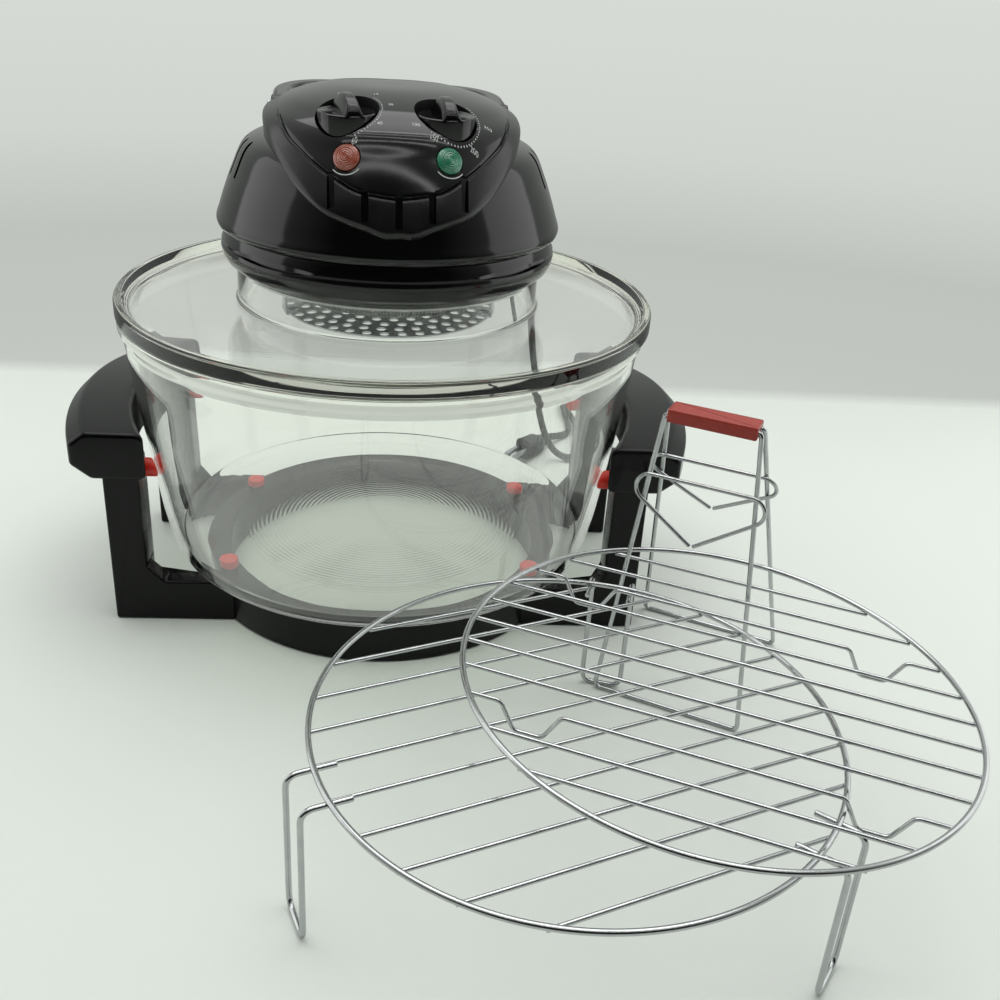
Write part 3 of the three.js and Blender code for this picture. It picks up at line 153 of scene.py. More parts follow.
def build(name, nets, finish, body, nodes=(), crease=crease_angle):
    """One object from one or more nets, in metres, riding on a body and standing for nodes."""
    nets = nets if isinstance(nets, list) else [nets]
    starts = np.cumsum([0] + [len(points) for points, _ in nets])
    corners = [face for start, (_, faces) in zip(starts, nets) for f in faces
               for face in (f + start).tolist()]
    mesh = bpy.data.meshes.new(name)
    mesh.from_pydata(np.vstack([points for points, _ in nets]) * mm, [], corners)
    welded = bmesh.new()
    welded.from_mesh(mesh)
    bmesh.ops.remove_doubles(welded, verts=welded.verts, dist=2e-7)
    welded.to_mesh(mesh)
    welded.free()
    mesh.shade_smooth()
    mesh.set_sharp_from_angle(angle=np.radians(crease))
    piece = bpy.data.objects.new(name, mesh)
    bpy.context.scene.collection.objects.link(piece)
    if finish:
        mesh.materials.append(finish)
    if body:
        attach(piece, body)
    if nodes:
        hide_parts(*nodes)
    print(name, len(mesh.polygons), "faces")
    return piece


def turned(profile, columns=192):
    """A profile of (radius, height) carried round the z axis: x = r cos a, y = r sin a."""
    a = round_angles(columns)
    r, z = np.asarray(profile, float).T[:, :, None]
    return np.stack([r * np.cos(a), r * np.sin(a), z + 0 * a], -1)


def tube(path, radius, sides=16, closed=False, hint=(0.31, 0.17, 0.93), tip=0.35):
    """A circle carried along a path. At each point it lies across the tangent T, spanned by
    S = T x hint and S x T. Open ends close over tip * radius like the end of a cut wire."""
    p = distinct(np.asarray(path, float))
    if closed:
        ahead = unit(np.roll(p, -1, 0) - np.roll(p, 1, 0))
        radii = np.full(len(p), float(radius))
    else:
        ends = unit(np.array([p[1] - p[0], p[-1] - p[-2]]))
        swell = np.array([0, 0.72, 1]) * radius
        run = np.array([0, 0.3, 1])[:, None] * radius * tip
        p = np.vstack([p[0] + run * ends[0], p[1:-1], (p[-1] - run * ends[1])[::-1]])
        ahead = unit(np.gradient(p, axis=0))
        ahead[:3], ahead[-3:] = ends[0], ends[1]
        radii = np.concatenate([swell, np.full(len(p) - 6, float(radius)), swell[::-1]])
    side = unit(np.cross(ahead, hint))
    up = np.cross(side, ahead)
    a = round_angles(sides)[None, :, None]
    across = np.cos(a) * side[:, None] + np.sin(a) * up[:, None]
    return p[:, None] + radii[:, None, None] * across


def slab(outline, low, high, edge, steps=5):
    """A flat outline given thickness. Near both faces the outline draws in by
    edge * (1 - sin t) while the height goes on by edge * (1 - cos t), so its edges are round.
    One more row just inside each flat face keeps the shading of the face flat."""
    p = distinct(np.asarray(outline, float))
    tangent = unit(np.roll(p, -1, 0) - np.roll(p, 1, 0))
    area = (p[:, 0] * np.roll(p[:, 1], -1) - p[:, 1] * np.roll(p[:, 0], -1)).sum()
    inward = np.stack([-tangent[:, 1], tangent[:, 0]], 1) * np.sign(area)
    t = np.linspace(0, np.pi / 2, steps)
    curl, rise = edge * (1 - np.sin(t)), edge * (1 - np.cos(t))
    inset = np.concatenate([[edge + flat_margin], curl, curl[::-1], [edge + flat_margin]])
    height = np.concatenate([[low], low + rise, high - rise[::-1], [high]])
    flat = p[None] + inset[:, None, None] * inward[None]
    return np.dstack([flat, np.broadcast_to(height[:, None], flat.shape[:2])])


def basis(grid, x, y, z, origin=(0, 0, 0)):
    """The grid's three coordinates laid along three new directions from an origin."""
    return grid @ np.array([x, y, z], float) + np.asarray(origin, float)


def spun(grid, degrees):
    """Turned about the z axis."""
    a = np.radians(degrees)
    return basis(grid, (np.cos(a), np.sin(a), 0), (-np.sin(a), np.cos(a), 0), (0, 0, 1))


def filled(curve):
    """The points of a flat filled curve, and its faces grouped by their number of corners."""
    holder = bpy.data.objects.new(curve.name, curve)
    bpy.context.scene.collection.objects.link(holder)
    mesh = bpy.data.meshes.new_from_object(
        holder.evaluated_get(bpy.context.evaluated_depsgraph_get()))
    points = np.empty(len(mesh.vertices) * 3)
    mesh.vertices.foreach_get("co", points)
    bpy.data.objects.remove(holder)
    faces = {}
    for face in mesh.polygons:
        faces.setdefault(len(face.vertices), []).append(list(face.vertices))
    return points.reshape(-1, 3), [np.array(group) for group in faces.values()]


lid_shift, head_turn = 1.2, 4.4
on_oven = lambda grid: grid + bowl_axis
on_lid = lambda grid: on_oven(grid + np.array([lid_shift, 0, 0]))
on_head = lambda grid: on_lid(spun(grid, head_turn))

# %% [markdown]
# ## The camera
# A photograph is only matched from the spot where it was taken. The place, the three turns
# and the focal length were fitted to the round rims, which the lens shows as ellipses.

# %% Camera
focal_share, centre_share, sensor_width = 1.08895, 0.48236, 36
camera_place = np.array([20.94, -700.99, 413.7])
yaw, pitch, roll = 0.08804, 0.45422, -0.0666
forward = np.array([np.sin(yaw) * np.cos(pitch), np.cos(yaw) * np.cos(pitch), -np.sin(pitch)])
level = np.array([np.cos(yaw), -np.sin(yaw), 0])
plumb = np.cross(forward, level)
right = level * np.cos(roll) + plumb * np.sin(roll)
down = plumb * np.cos(roll) - level * np.sin(roll)
lens = bpy.data.cameras.new("photo_camera")
camera = bpy.data.objects.new("photo_camera", lens)
bpy.context.scene.collection.objects.link(camera)
turn = np.eye(4)
turn[:3, 0], turn[:3, 1], turn[:3, 2] = right, -down, -forward
turn[:3, 3] = (bowl_axis + camera_place) * mm
camera.matrix_world = Matrix(turn.tolist())
lens.sensor_width = sensor_width
lens.lens = sensor_width * focal_share
lens.shift_y = centre_share - 0.5
bpy.context.scene.camera = camera
print("camera at", turn[:3, 3].round(4), "lens", round(lens.lens, 2))

# %% [markdown]
# ## Finishes
# Every finish is a Principled shader with a little life in it: slow noise shifts the colour
# and the gloss, and fine noise gives a bump, since no real surface is quite even. Noise on
# Object coordinates stays on the piece from every side and in every pose.

# %% Finishes
def screen(red, green, blue):
    """A colour as a screen shows it, 0 to 255, as linear light: ((c + 0.055) / 1.055)^2.4."""
    c = np.array([red, green, blue]) / 255
    return tuple(np.where(c <= 0.04045, c / 12.92, ((c + 0.055) / 1.055) ** 2.4)) + (1.0,)


def node(tree, kind, sources=None, **values):
    """A new shader node with its plain settings, its input values and its links."""
    made = tree.nodes.new("ShaderNode" + kind)
    for key, value in values.items():
        setattr(made, key, value)
    for key, value in (sources or {}).items():
        if isinstance(value, bpy.types.NodeSocket):
            tree.links.new(value, made.inputs[key])
        else:
            made.inputs[key].default_value = value
    return made


def finish(name, colour, other, rough, spread=0.15, cloud=45, fine=900, bump=0.02, **sockets):
    """Colour runs between two shades and roughness by its spread with slow noise; fine noise
    is the bump. Sockets are values that are the same all over the surface."""
    made = bpy.data.materials.new(name)
    made.use_nodes = True
    tree = made.node_tree
    shader = tree.nodes["Principled BSDF"]
    at = node(tree, "TexCoord").outputs["Object"]
    slow = node(tree, "TexNoise", {"Vector": at, "Scale": cloud, "Detail": 5.0}).outputs["Fac"]
    tone = node(tree, "Mix", {"Factor": slow, 6: colour, 7: other}, data_type="RGBA")
    gloss = node(tree, "MapRange", {
        "Value": slow, "From Min": 0.3, "From Max": 0.7,
        "To Min": rough * (1 - spread), "To Max": rough * (1 + spread)})
    grain = node(tree, "TexNoise", {"Vector": at, "Scale": fine, "Detail": 3.0}).outputs["Fac"]
    relief = node(tree, "Bump", {"Strength": bump, "Distance": 0.0005, "Height": grain})
    tree.links.new(tone.outputs[2], shader.inputs["Base Color"])
    tree.links.new(gloss.outputs["Result"], shader.inputs["Roughness"])
    tree.links.new(relief.outputs["Normal"], shader.inputs["Normal"])
    for key, value in sockets.items():
        shader.inputs[key.replace("_", " ")].default_value = value
    return made


stand_black = finish("stand_black_plastic", screen(4, 5, 5), screen(8, 9, 9), 0.16,
                     bump=0.01, fine=420, **{"Specular IOR Level": 0.22})
gloss_black = finish("gloss_black_plastic", screen(5, 6, 6), screen(10, 11, 11), 0.11,
                     bump=0.01, fine=420, **{"Specular IOR Level": 0.5})
satin_black = finish("satin_black_plastic", screen(10, 11, 11), screen(16, 17, 17), 0.26,
                     bump=0.03, fine=1500, **{"Specular IOR Level": 0.55})
knob_black = finish("knob_plastic", screen(6, 6, 7), screen(11, 12, 12), 0.15, bump=0.02)
silicone = finish("red_silicone", screen(196, 34, 24), screen(226, 52, 36), 0.42, bump=0.06,
                  **{"Subsurface Weight": 0.12, "Subsurface Scale": 0.002})
chromed = finish("chromed_wire", screen(196, 198, 198), screen(168, 170, 172), 0.16,
                 spread=0.4, cloud=130, bump=0.03, fine=2600, Metallic=1.0)
brushed = finish("bright_steel", screen(186, 188, 190), screen(158, 161, 164), 0.3,
                 spread=0.3, bump=0.04, Metallic=1.0)
sheet_metal = finish("rolled_aluminium", screen(200, 201, 202), screen(176, 178, 180), 0.36,
                     spread=0.25, bump=0.05, Metallic=1.0)
porcelain = finish("porcelain", screen(222, 216, 200), screen(206, 198, 180), 0.5, bump=0.05)
quartz = finish("clear_quartz", screen(246, 246, 242), screen(236, 236, 230), 0.03, bump=0.01,
                **{"Transmission Weight": 1.0, "IOR": 1.45})
white_print = finish("white_print", screen(214, 216, 212), screen(190, 193, 190), 0.5)
hollow = finish("hollow_black", screen(5, 5, 5), screen(9, 9, 9), 0.6, bump=0.03)
red_paint = finish("red_paint", screen(168, 48, 34), screen(148, 40, 28), 0.36, cloud=160,
                   bump=0.12, fine=700)
jacket = finish("cord_jacket", screen(34, 35, 36), screen(46, 47, 48), 0.5, bump=0.08, fine=1300)
print(len(bpy.data.materials), "finishes")

# %% [markdown]
# ## The mains cord
# The photograph shows the cord only through the glass: it drops from the back of the head and
# lies behind the bowl. A lead of this kind is about a metre long, so the spare length is folded
# into a hank behind the right leg, where the oven hides it. A hank is easier to follow as arc
# length: two straight runs, two half circles, and a radius that grows from turn to turn.

# %% Cord route
cord_radius, cord_skin, relief_length, housing_base = 3.2, 0.05, 39.0, 252.0
exit_bearing, exit_radius, exit_rise, exit_dip = 55, 102.4, 12.0, 16


def heading(degrees, dip=0.0):
    """A direction at an angle round z, dipping below the level."""
    a, d = np.radians([degrees, dip])
    return np.array([np.cos(a) * np.cos(d), np.sin(a) * np.cos(d), -np.sin(d)])


relief_start = (heading(exit_bearing) * exit_radius
                + [lid_shift, 0, housing_base + exit_rise])
relief_way = heading(exit_bearing, exit_dip)
cord_start = relief_start + relief_way * (relief_length + seat)
cord_way = np.array([
    [105.2, 151, 236], [109.2, 166, 208], [111.2, 177, 176], [116.2, 184, 143], [122.2, 188, 110],
    [128.2, 190, 78], [135.2, 190, 50], [144.2, 189.5, 27], [156.2, 189, 11], [170.2, 188.6, 4.4],
    [185.2, 188.4, 3.5]])
hank_centre, hank_run, hank_fold, hank_pitch = np.array([205.4, 262.2, 3.5]), 96.0, 20.0, 8.1
hank_waist, hank_layer, hank_turns, turn_back, hank_settle = 4.0, 7.2, 1.75, 0.75, 0.13
plug_centre, plug_way = np.array([151.2, 224, 7.8]), heading(221)


def hank(turn):
    """Arc length 2 (run + pi r) makes a turn: half a front fold, the right run, the rear fold,
    the left run, half a front fold. r is the fold radius plus the pitch times the turns from
    where the spiral reverses, and there the cord climbs one layer."""
    r = hank_fold + hank_pitch * np.abs(turn - turn_back)
    bend = np.pi * r
    beyond = (turn % 1) * 2 * (hank_run + bend) - bend / 2
    back = beyond - hank_run - bend
    part = [beyond < 0, beyond < hank_run, back < 0, back < hank_run]
    angle = np.select(part, [beyond / r, 0 * r, (beyond - hank_run) / r, 0 * r + np.pi],
                      np.pi + (back - hank_run) / r)
    middle = np.select(part, [0 * r - hank_run / 2, beyond - hank_run / 2, 0 * r + hank_run / 2,
                              hank_run / 2 - back], -hank_run / 2)
    along = np.select(part, [0 * r, beyond, 0 * r, back], 0)
    inner = r - hank_waist * np.sin(np.pi * along / hank_run) ** 2
    rise = ramp((turn - turn_back) * 2 + 0.5) * (1 - ramp((turn - hank_turns) / hank_settle + 1))
    offset = [np.cos(angle) * inner, middle + r * np.sin(angle), hank_layer * rise]
    return hank_centre + np.stack(offset, -1)


loops = hank(np.linspace(0, hank_turns, 85))
lead_in = loops[0] - [2 * cord_radius, 0, 0]
free_part = smooth([cord_start, cord_start + relief_way * 4 * cord_radius, *cord_way,
                    lead_in - [2 * cord_radius, 0, 0], lead_in], 5)
tail_way = np.array([[181.2, 253, 3.5], [178.7, 246.5, 3.5], [173.7, 240.5, 3.8],
                     [166.2, 235.5, 5], [159.2, 230.6, 6.8]])
tail = smooth([loops[-1], *tail_way, plug_centre - plug_way * 2 * cord_radius,
               plug_centre - plug_way * seat], 4)
cord_path = distinct(np.vstack([free_part, loops, tail[1:]]))

# %% Cord, strain relief and plug
mains_cord = build("mains_cord", net(on_oven(tube(cord_path, cord_radius - cord_skin, 14))),
                   jacket, "lid", ("cord", "cord_hank"))
relief_big, relief_small, relief_bore, relief_ribs, rib_depth = 8.5, 5, 3.4, 7, 0.8
relief_steps = np.linspace(0, 1, 140)
ribbed = (relief_steps > 0.2) * (relief_steps < 0.93)
relief_radius = (relief_big + (relief_small - relief_big) * ramp(relief_steps * 1.15 - 0.1)
                 - rib_depth * np.clip(np.sin(relief_steps * 2 * np.pi * relief_ribs), 0, 1)
                 * ribbed)
relief_profile = np.vstack([
    [[0, 0]], np.stack([relief_radius, relief_steps * relief_length], 1),
    [[relief_bore, relief_length], [0, relief_length]]])
side = unit(np.cross(relief_way, [0, 0, 1.0]))
boot = basis(turned(relief_profile, 48), side, np.cross(relief_way, side), relief_way,
             relief_start)
build("strain_relief_boot", net(on_oven(boot)), jacket, "lid", ("strain_relief",))
plug_side = np.cross([0, 0, 1.0], plug_way)
plug_length, plug_rows, plug_columns, plug_squareness = 36, 60, 48, 0.6
pin_start, pin_end, pin_radius, pin_offset = 35, 53.8, 2.1, 4.75
s = np.linspace(0, 1, plug_rows)
plug_neck, plug_wide, plug_high, plug_waist, face_from = 5.2, 6.3, 2.2, 0.8, 0.94
swell = ramp((s - 0.2) / 0.25)
half_width = plug_neck + plug_wide * swell - plug_waist * ramp((s - 0.5) / 0.5)
half_height = plug_neck + plug_high * swell
shut = np.sqrt(1 - 0.8 * np.clip((s - face_from) / (1 - face_from), 0, 1) ** 2)
a = round_angles(plug_columns)
bulge = lambda wave: np.sign(wave) * np.abs(wave) ** plug_squareness
plug_body = np.stack([
    (half_width * shut)[:, None] * bulge(np.cos(a)),
    (half_height * shut)[:, None] * bulge(np.sin(a)),
    np.broadcast_to((s * plug_length)[:, None], (plug_rows, plug_columns))], -1)
pins = [tube([[x, 0, pin_start], [x, 0, 45], [x, 0, pin_end]], pin_radius, 20, hint=(1, 0, 0))
        for x in (-pin_offset, pin_offset)]
plug_nets = [net(on_oven(basis(grid, plug_side, (0, 0, 1), plug_way, plug_centre)))
             for grid in [plug_body, *pins]]
plug_piece = build("mains_plug", plug_nets, jacket, "lid", ("plug",))
plug_piece.data.materials.append(brushed)
body_faces = (plug_rows - 1) * plug_columns + 2
pin_faces = np.arange(len(plug_piece.data.polygons)) >= body_faces
plug_piece.data.polygons.foreach_set("material_index", pin_faces.astype(np.int32))
print("plug and boot made")

# %% [markdown]
# ## Table, backdrop and light
# The table is a pale board, and behind its far edge there is only the pale room. The room is
# bright above and at the sides and dark on the photographer's side, and that is what black
# gloss plastic shows: grey on top, black where it faces the viewer. Long thin lamps overhead
# give the streaks on the control face, and a soft box on each side the grey flanks.

# %% Stage
far_edge, edge_fade, edge_skew = 0.515, 0.035, 0.012
board_half, board_front, board_lines = 2.2, -2.0, 45
board_x, board_y = np.meshgrid(np.linspace(-board_half, board_half, board_lines),
                               np.linspace(board_front, far_edge, board_lines))
level_board = np.stack([board_x, board_y - edge_skew * board_x, 0 * board_x], -1)
index = np.arange(board_lines ** 2).reshape(board_lines, board_lines)
quads = np.stack([index[:-1, :-1], index[:-1, 1:], index[1:, 1:], index[1:, :-1]], -1)
board_mesh = bpy.data.meshes.new("table_board")
board_mesh.from_pydata(level_board.reshape(-1, 3).tolist(), [], quads.reshape(-1, 4).tolist())
board = bpy.data.objects.new("table_board", board_mesh)
bpy.context.scene.collection.objects.link(board)
board_finish = finish("pale_board", screen(221, 226, 220), screen(224, 229, 223), 0.55, cloud=3,
                      bump=0.0, **{"Specular IOR Level": 0.2})
tree = board_finish.node_tree
place = node(tree, "SeparateXYZ", {"Vector": node(tree, "TexCoord").outputs["Object"]})
skew = node(tree, "Math", {0: place.outputs["X"], 1: edge_skew, 2: place.outputs["Y"]},
            operation="MULTIPLY_ADD")
fade = node(tree, "MapRange", {"Value": skew.outputs["Value"], "From Min": far_edge - edge_fade,
                               "From Max": far_edge, "To Min": 1.0, "To Max": 0.0})
tree.links.new(fade.outputs["Result"], tree.nodes["Principled BSDF"].inputs["Alpha"])
board_mesh.materials.append(board_finish)

# %% Light
bpy.context.scene.view_settings.view_transform = "Standard"
world = bpy.data.worlds.new("room")
bpy.context.scene.world = world
world.use_nodes = True
tree = world.node_tree
way = node(tree, "SeparateXYZ", {"Vector": node(tree, "TexCoord").outputs["Generated"]})


def shades(value, *stops):
    """A colour ramp: (position, screen grey) pairs along a value from 0 to 1."""
    made = node(tree, "ValToRGB", {"Fac": value})
    ramp_stops = made.color_ramp.elements
    for i, (position, red, green, blue) in enumerate(stops):
        stop = ramp_stops[i] if i < 2 else ramp_stops.new(position)
        stop.position, stop.color = position, screen(red, green, blue)
    return made.outputs["Color"]


from_below = node(tree, "MapRange", {"Value": way.outputs["Z"], "From Min": -0.4, "From Max": 0.1})
pale_room = shades(from_below.outputs["Result"], (0.0, 204, 209, 203), (1.0, 222, 225, 220),
                   (0.16, 194, 199, 193), (0.34, 190, 195, 189), (0.5, 208, 213, 207))
climb = node(tree, "MapRange", {"Value": way.outputs["Z"], "From Min": -0.3, "From Max": 0.9})
lit_room = shades(climb.outputs["Result"], (0.0, 120, 123, 120), (1.0, 236, 240, 236),
                  (0.45, 196, 200, 196))
toward_front = node(tree, "MapRange", {"Value": way.outputs["Y"], "From Min": -0.75,
                                       "From Max": 0.15, "To Min": 0.03, "To Max": 1.0})
darker = node(tree, "Mix", {"Factor": toward_front.outputs["Result"], 6: (0, 0, 0, 1),
                            7: lit_room}, data_type="RGBA")
path = node(tree, "LightPath")
seen = node(tree, "Math", {0: path.outputs["Is Camera Ray"],
                           1: path.outputs["Is Transmission Ray"]}, operation="MAXIMUM")
shown = node(tree, "Mix", {"Factor": seen.outputs["Value"], 6: darker.outputs[2], 7: pale_room},
             data_type="RGBA")
tree.links.new(shown.outputs[2], tree.nodes["Background"].inputs["Color"])
tree.nodes["Background"].inputs["Strength"].default_value = 1.0


def lamp(name, place, target, width, depth, glow):
    """A rectangular lamp at a place, facing a target. Its power in watts is pi times its glow
    times its area. It shows in reflections, but not to the camera."""
    data = bpy.data.lights.new(name, "AREA")
    data.shape, data.size, data.size_y = "RECTANGLE", width, depth
    data.energy = np.pi * glow * width * depth
    made = bpy.data.objects.new(name, data)
    z = unit(np.subtract(place, target).astype(float))
    x = unit(np.cross((0, 1, 0) if abs(z[1]) < 0.9 else (0, 0, 1), z))
    turn = np.eye(4)
    turn[:3, 0], turn[:3, 1], turn[:3, 2], turn[:3, 3] = x, np.cross(z, x), z, place
    made.matrix_world = Matrix(turn.tolist())
    made.visible_camera = made.visible_transmission = False
    bpy.context.scene.collection.objects.link(made)


bowl_middle, head_middle = (-0.05, 0.1, 0.2), (-0.05, 0.1, 0.3)
ceiling_glow, strip_glow, box_glow = 1.78, 4.5, 0.9
strip_length, strip_width, strip_height, strip_stagger = 1.25, 0.035, 1.2, 0.05
lamp("ceiling", (-0.1, 0.45, 1.7), bowl_middle, 1.9, 1.1, ceiling_glow)
for i, y in enumerate((-0.72, -0.5, -0.3, -0.12, 0.04)):
    lamp(f"strip_{i}", (strip_stagger * (-1) ** i, y, strip_height), head_middle, strip_length,
         strip_width, strip_glow)
for sx in (-1, 1):
    lamp(f"soft_box_{sx}", (0.78 * sx - 0.05, 0.12, 0.34), bowl_middle, 0.75, 0.62, box_glow)
print("stage and light ready")

# %% [markdown]
# ## The stand
# The stand is moulded in black plastic: a low ring, four legs with a foot arm and a pillar, and
# two handles that tie the pillars in pairs. One leg is a stack of outlines along its width.
# Where only the pillar stands, the same outline is held back to the pillar's inner face, so
# that one grid of points makes both.

# %% Ring and legs
ring_outer, ring_inner, ring_height, ring_edge = 123.5, 107.5, 29.0, 2.2
arm_inner, arm_outer, pillar_back = 65.0, 78.0, 56.0
pillar_inner, pillar_outer, pillar_height = 150.5, 173.0, 114.0
gusset, leg_corner, leg_edge = 11.0, 2.3, 1.6
ring_profile = eased([[ring_inner, 0], [ring_outer, 0], [ring_outer, ring_height],
                      [ring_inner, ring_height]], ring_edge, 7, closed=True)
build("stand_ring", net(on_oven(turned(ring_profile)), "joined"), stand_black, "stand",
      ("base_ring",))
leg_outline = eased([
    [0, 0], [pillar_outer, 0], [pillar_outer, pillar_height], [pillar_inner, pillar_height],
    [pillar_inner, ring_height + gusset], [pillar_inner - gusset, ring_height],
    [0, ring_height]], leg_corner, 6, closed=True)
outward = unit(np.stack([np.gradient(leg_outline[:, 1]), -np.gradient(leg_outline[:, 0])], 1))
t = np.concatenate([[0, 0], np.linspace(0, 1, 6)[1:]])
rows = np.concatenate([pillar_back + leg_edge * t, arm_inner + leg_edge * t,
                       arm_outer - leg_edge * t[::-1]])
turn_in = leg_edge * (1 - np.sqrt(1 - (1 - t) ** 2))
turn_in[0] += flat_margin
inset = np.concatenate([turn_in, turn_in, turn_in[::-1]])
flat = leg_outline[None] - inset[:, None, None] * outward[None]
arm_face = slice(len(t), 2 * len(t))
on_pillar = leg_outline[None, :, 0] >= pillar_inner - 1e-6
flat[arm_face] = np.where(on_pillar[..., None], leg_outline[None], flat[arm_face])
has_arm = np.arange(len(rows)) >= len(t)
keep = np.where(has_arm, np.sqrt((ring_outer + seat) ** 2 - rows ** 2), pillar_inner + inset)
leg_grid = np.stack([np.maximum(flat[..., 0], keep[:, None]),
                     np.broadcast_to(rows[:, None], flat.shape[:2]), flat[..., 1]], -1)

# %% Handles
handle_inner, handle_reach, handle_bow, handle_half = 165.0, 206.5, 15.5, 79.5
handle_low, handle_high, handle_crown, handle_edge = 103.0, 139.0, 5.0, 2.6
low_cut, top_cut, inner_cut, handle_corner = 11.0, 9.0, 3.0, 5.0
deep, tall = handle_reach - handle_inner, handle_high - handle_low
section = eased([[0, 0], [deep - low_cut, 0], [deep, low_cut], [deep, tall - top_cut],
                 [deep - top_cut, tall], [inner_cut, tall], [0, tall - inner_cut]],
                handle_corner, 9, closed=True)
t = np.linspace(0, 1, 7)
end_inset = handle_edge * (1 - np.sqrt(1 - (1 - t) ** 2))
middle_y = np.linspace(handle_edge - handle_half, handle_half - handle_edge, 41)[1:-1]
y = np.concatenate([-handle_half + handle_edge * t, middle_y, handle_half - handle_edge * t[::-1]])
inset = np.concatenate([end_inset, 0 * middle_y, end_inset[::-1]])
low_x = np.sqrt(handle_inner ** 2 - y ** 2) + inset
high_x = handle_reach - handle_bow * (y / handle_half) ** 2 - inset
low_z = handle_low + inset
high_z = handle_high - handle_crown * (y / handle_half) ** 2 - inset
across_share, up_share = (section / section.max(0)).T
handle_grid = np.stack([
    low_x[:, None] + across_share * (high_x - low_x)[:, None],
    np.broadcast_to(y[:, None], (len(y), len(section))),
    low_z[:, None] + up_share * (high_z - low_z)[:, None]], -1)
for side_name, sx in (("left", -1), ("right", 1)):
    build(f"side_handle_{side_name}", net(on_oven(handle_grid * [sx, 1, 1])), stand_black, "stand",
          (f"handle_{side_name}",))
    for end_name, sy in (("front", -1), ("rear", 1)):
        build(f"leg_{end_name}_{side_name}_moulding", net(on_oven(leg_grid * [sx, sy, 1])),
              stand_black, "stand", (f"leg_{end_name}_{side_name}",))

# %% [markdown]
# ## The glass bowl and lid
# Pressed glass is turned: one profile of radius and height, carried round the axis. What makes
# it look like glass is its thickness, so inner and outer walls are both modelled and the
# shader bends the light at each. Fine rings pressed into the floor are a sine on the height.

# %% Glass
bowl_base, bowl_mouth, wall_height, bowl_height = 36.0, 167.6, 154.0, 162.7
bowl_top, glass_wall, floor_thickness = bowl_base + bowl_height, 5.0, 6.0
flange_radius, flange_low, bowl_edge, foot_step, floor_step = 170.0, 193.0, 1.3, 5.0, 12.0
cove = np.array([[139.5, 10.6], [133.5, 7.0]])
wall_shares = np.array([[0.82, 0], [0.86, 0.035], [0.895, 0.169], [0.925, 0.383], [0.955, 0.61],
                        [1, 1]])
ripple_out, ripple_pitch, ripple_depth = 99.0, 3.05, 0.075
lid_floor, lid_rim, rim_height, rim_width = 199.0, 172.0, 10.8, 8.8
plate_rise, lid_crown, lid_edge, bead_step = 5.6, 1.4, 2.0, 6.0
neck_outer, neck_wall, neck_height = 96.6, 4.6, 30.0


def glass(name, tint, rim_tint, rim_from, rim_to):
    """Clear glass whose tint deepens from one radius round the bowl's axis to another. Rays
    from lamps pass straight through, since bent shadows of lamps would take too long."""
    made = bpy.data.materials.new(name)
    made.use_nodes = True
    tree = made.node_tree
    shader = tree.nodes["Principled BSDF"]
    at = node(tree, "TexCoord").outputs["Object"]
    centred = node(tree, "Mapping", {"Vector": at, "Location": (*(-bowl_axis[:2] * mm), 0),
                                     "Scale": (1, 1, 0)}).outputs["Vector"]
    radius = node(tree, "VectorMath", {0: centred}, operation="LENGTH").outputs["Value"]
    share = node(tree, "MapRange", {"Value": radius, "From Min": rim_from * mm,
                                    "From Max": rim_to * mm}).outputs["Result"]
    tone = node(tree, "Mix", {"Factor": share, 6: tint, 7: rim_tint}, data_type="RGBA")
    waves = node(tree, "TexNoise", {"Vector": at, "Scale": 14.0, "Detail": 1.0}).outputs["Fac"]
    relief = node(tree, "Bump", {"Strength": 0.05, "Distance": 0.002, "Height": waves})
    tree.links.new(tone.outputs[2], shader.inputs["Base Color"])
    tree.links.new(relief.outputs["Normal"], shader.inputs["Normal"])
    shader.inputs["Transmission Weight"].default_value = 1.0
    shader.inputs["Roughness"].default_value = 0.01
    shader.inputs["IOR"].default_value = 1.47
    lamps = node(tree, "LightPath").outputs["Is Shadow Ray"]
    passing = node(tree, "BsdfTransparent", {"Color": (0.93, 0.95, 0.92, 1)})
    both = node(tree, "MixShader", {0: lamps, 1: shader.outputs["BSDF"],
                                    2: passing.outputs["BSDF"]})
    tree.links.new(both.outputs["Shader"], tree.nodes["Material Output"].inputs["Surface"])
    return made


bowl_glass = glass("bowl_glass", (0.985, 0.99, 0.98, 1), (0.96, 0.96, 0.88, 1), 163, 171)
lid_glass = glass("lid_glass", (0.985, 0.99, 0.98, 1), (0.94, 0.93, 0.8, 1), 163, 172)
wall = wall_shares * [bowl_mouth, wall_height] + [0, bowl_base]
wall_line = smooth(wall, 10)
mouth_inner = bowl_mouth - glass_wall
outside = np.vstack([
    [[0, bowl_base], [wall[0, 0] - foot_step, bowl_base]], wall_line[2:],
    eased([[flange_radius, flange_low], [flange_radius, bowl_top], [mouth_inner, bowl_top],
           [mouth_inner, bowl_top - 3]], bowl_edge, 6)])
floor_edge = wall[0, 0] - floor_step
floor_r = np.linspace(floor_edge, 0, 640)
ripple_fade = ramp((ripple_out - floor_r) / 4) * ramp(floor_r / ripple_out)
floor_z = bowl_base + floor_thickness + ripple_fade * ripple_depth * (
    np.cos(2 * np.pi * floor_r / ripple_pitch) - 1)
inner_wall = wall_line[12:][::-1] - [glass_wall, 0]
floor_turn = smooth([inner_wall[-1], *(cove + [0, bowl_base]),
                     [floor_edge, bowl_base + floor_thickness]], 8)
inside = np.vstack([inner_wall, floor_turn[1:-1], np.stack([floor_r, floor_z], 1)])
build("bowl", net(on_oven(turned(np.vstack([outside, inside]), 220))), bowl_glass, "bowl",
      ("glass_bowl",), crease=50)
bead = lid_rim - rim_width
plate_top = lid_floor + plate_rise + lid_crown
neck_top, neck_inner = lid_floor + neck_height, neck_outer - neck_wall
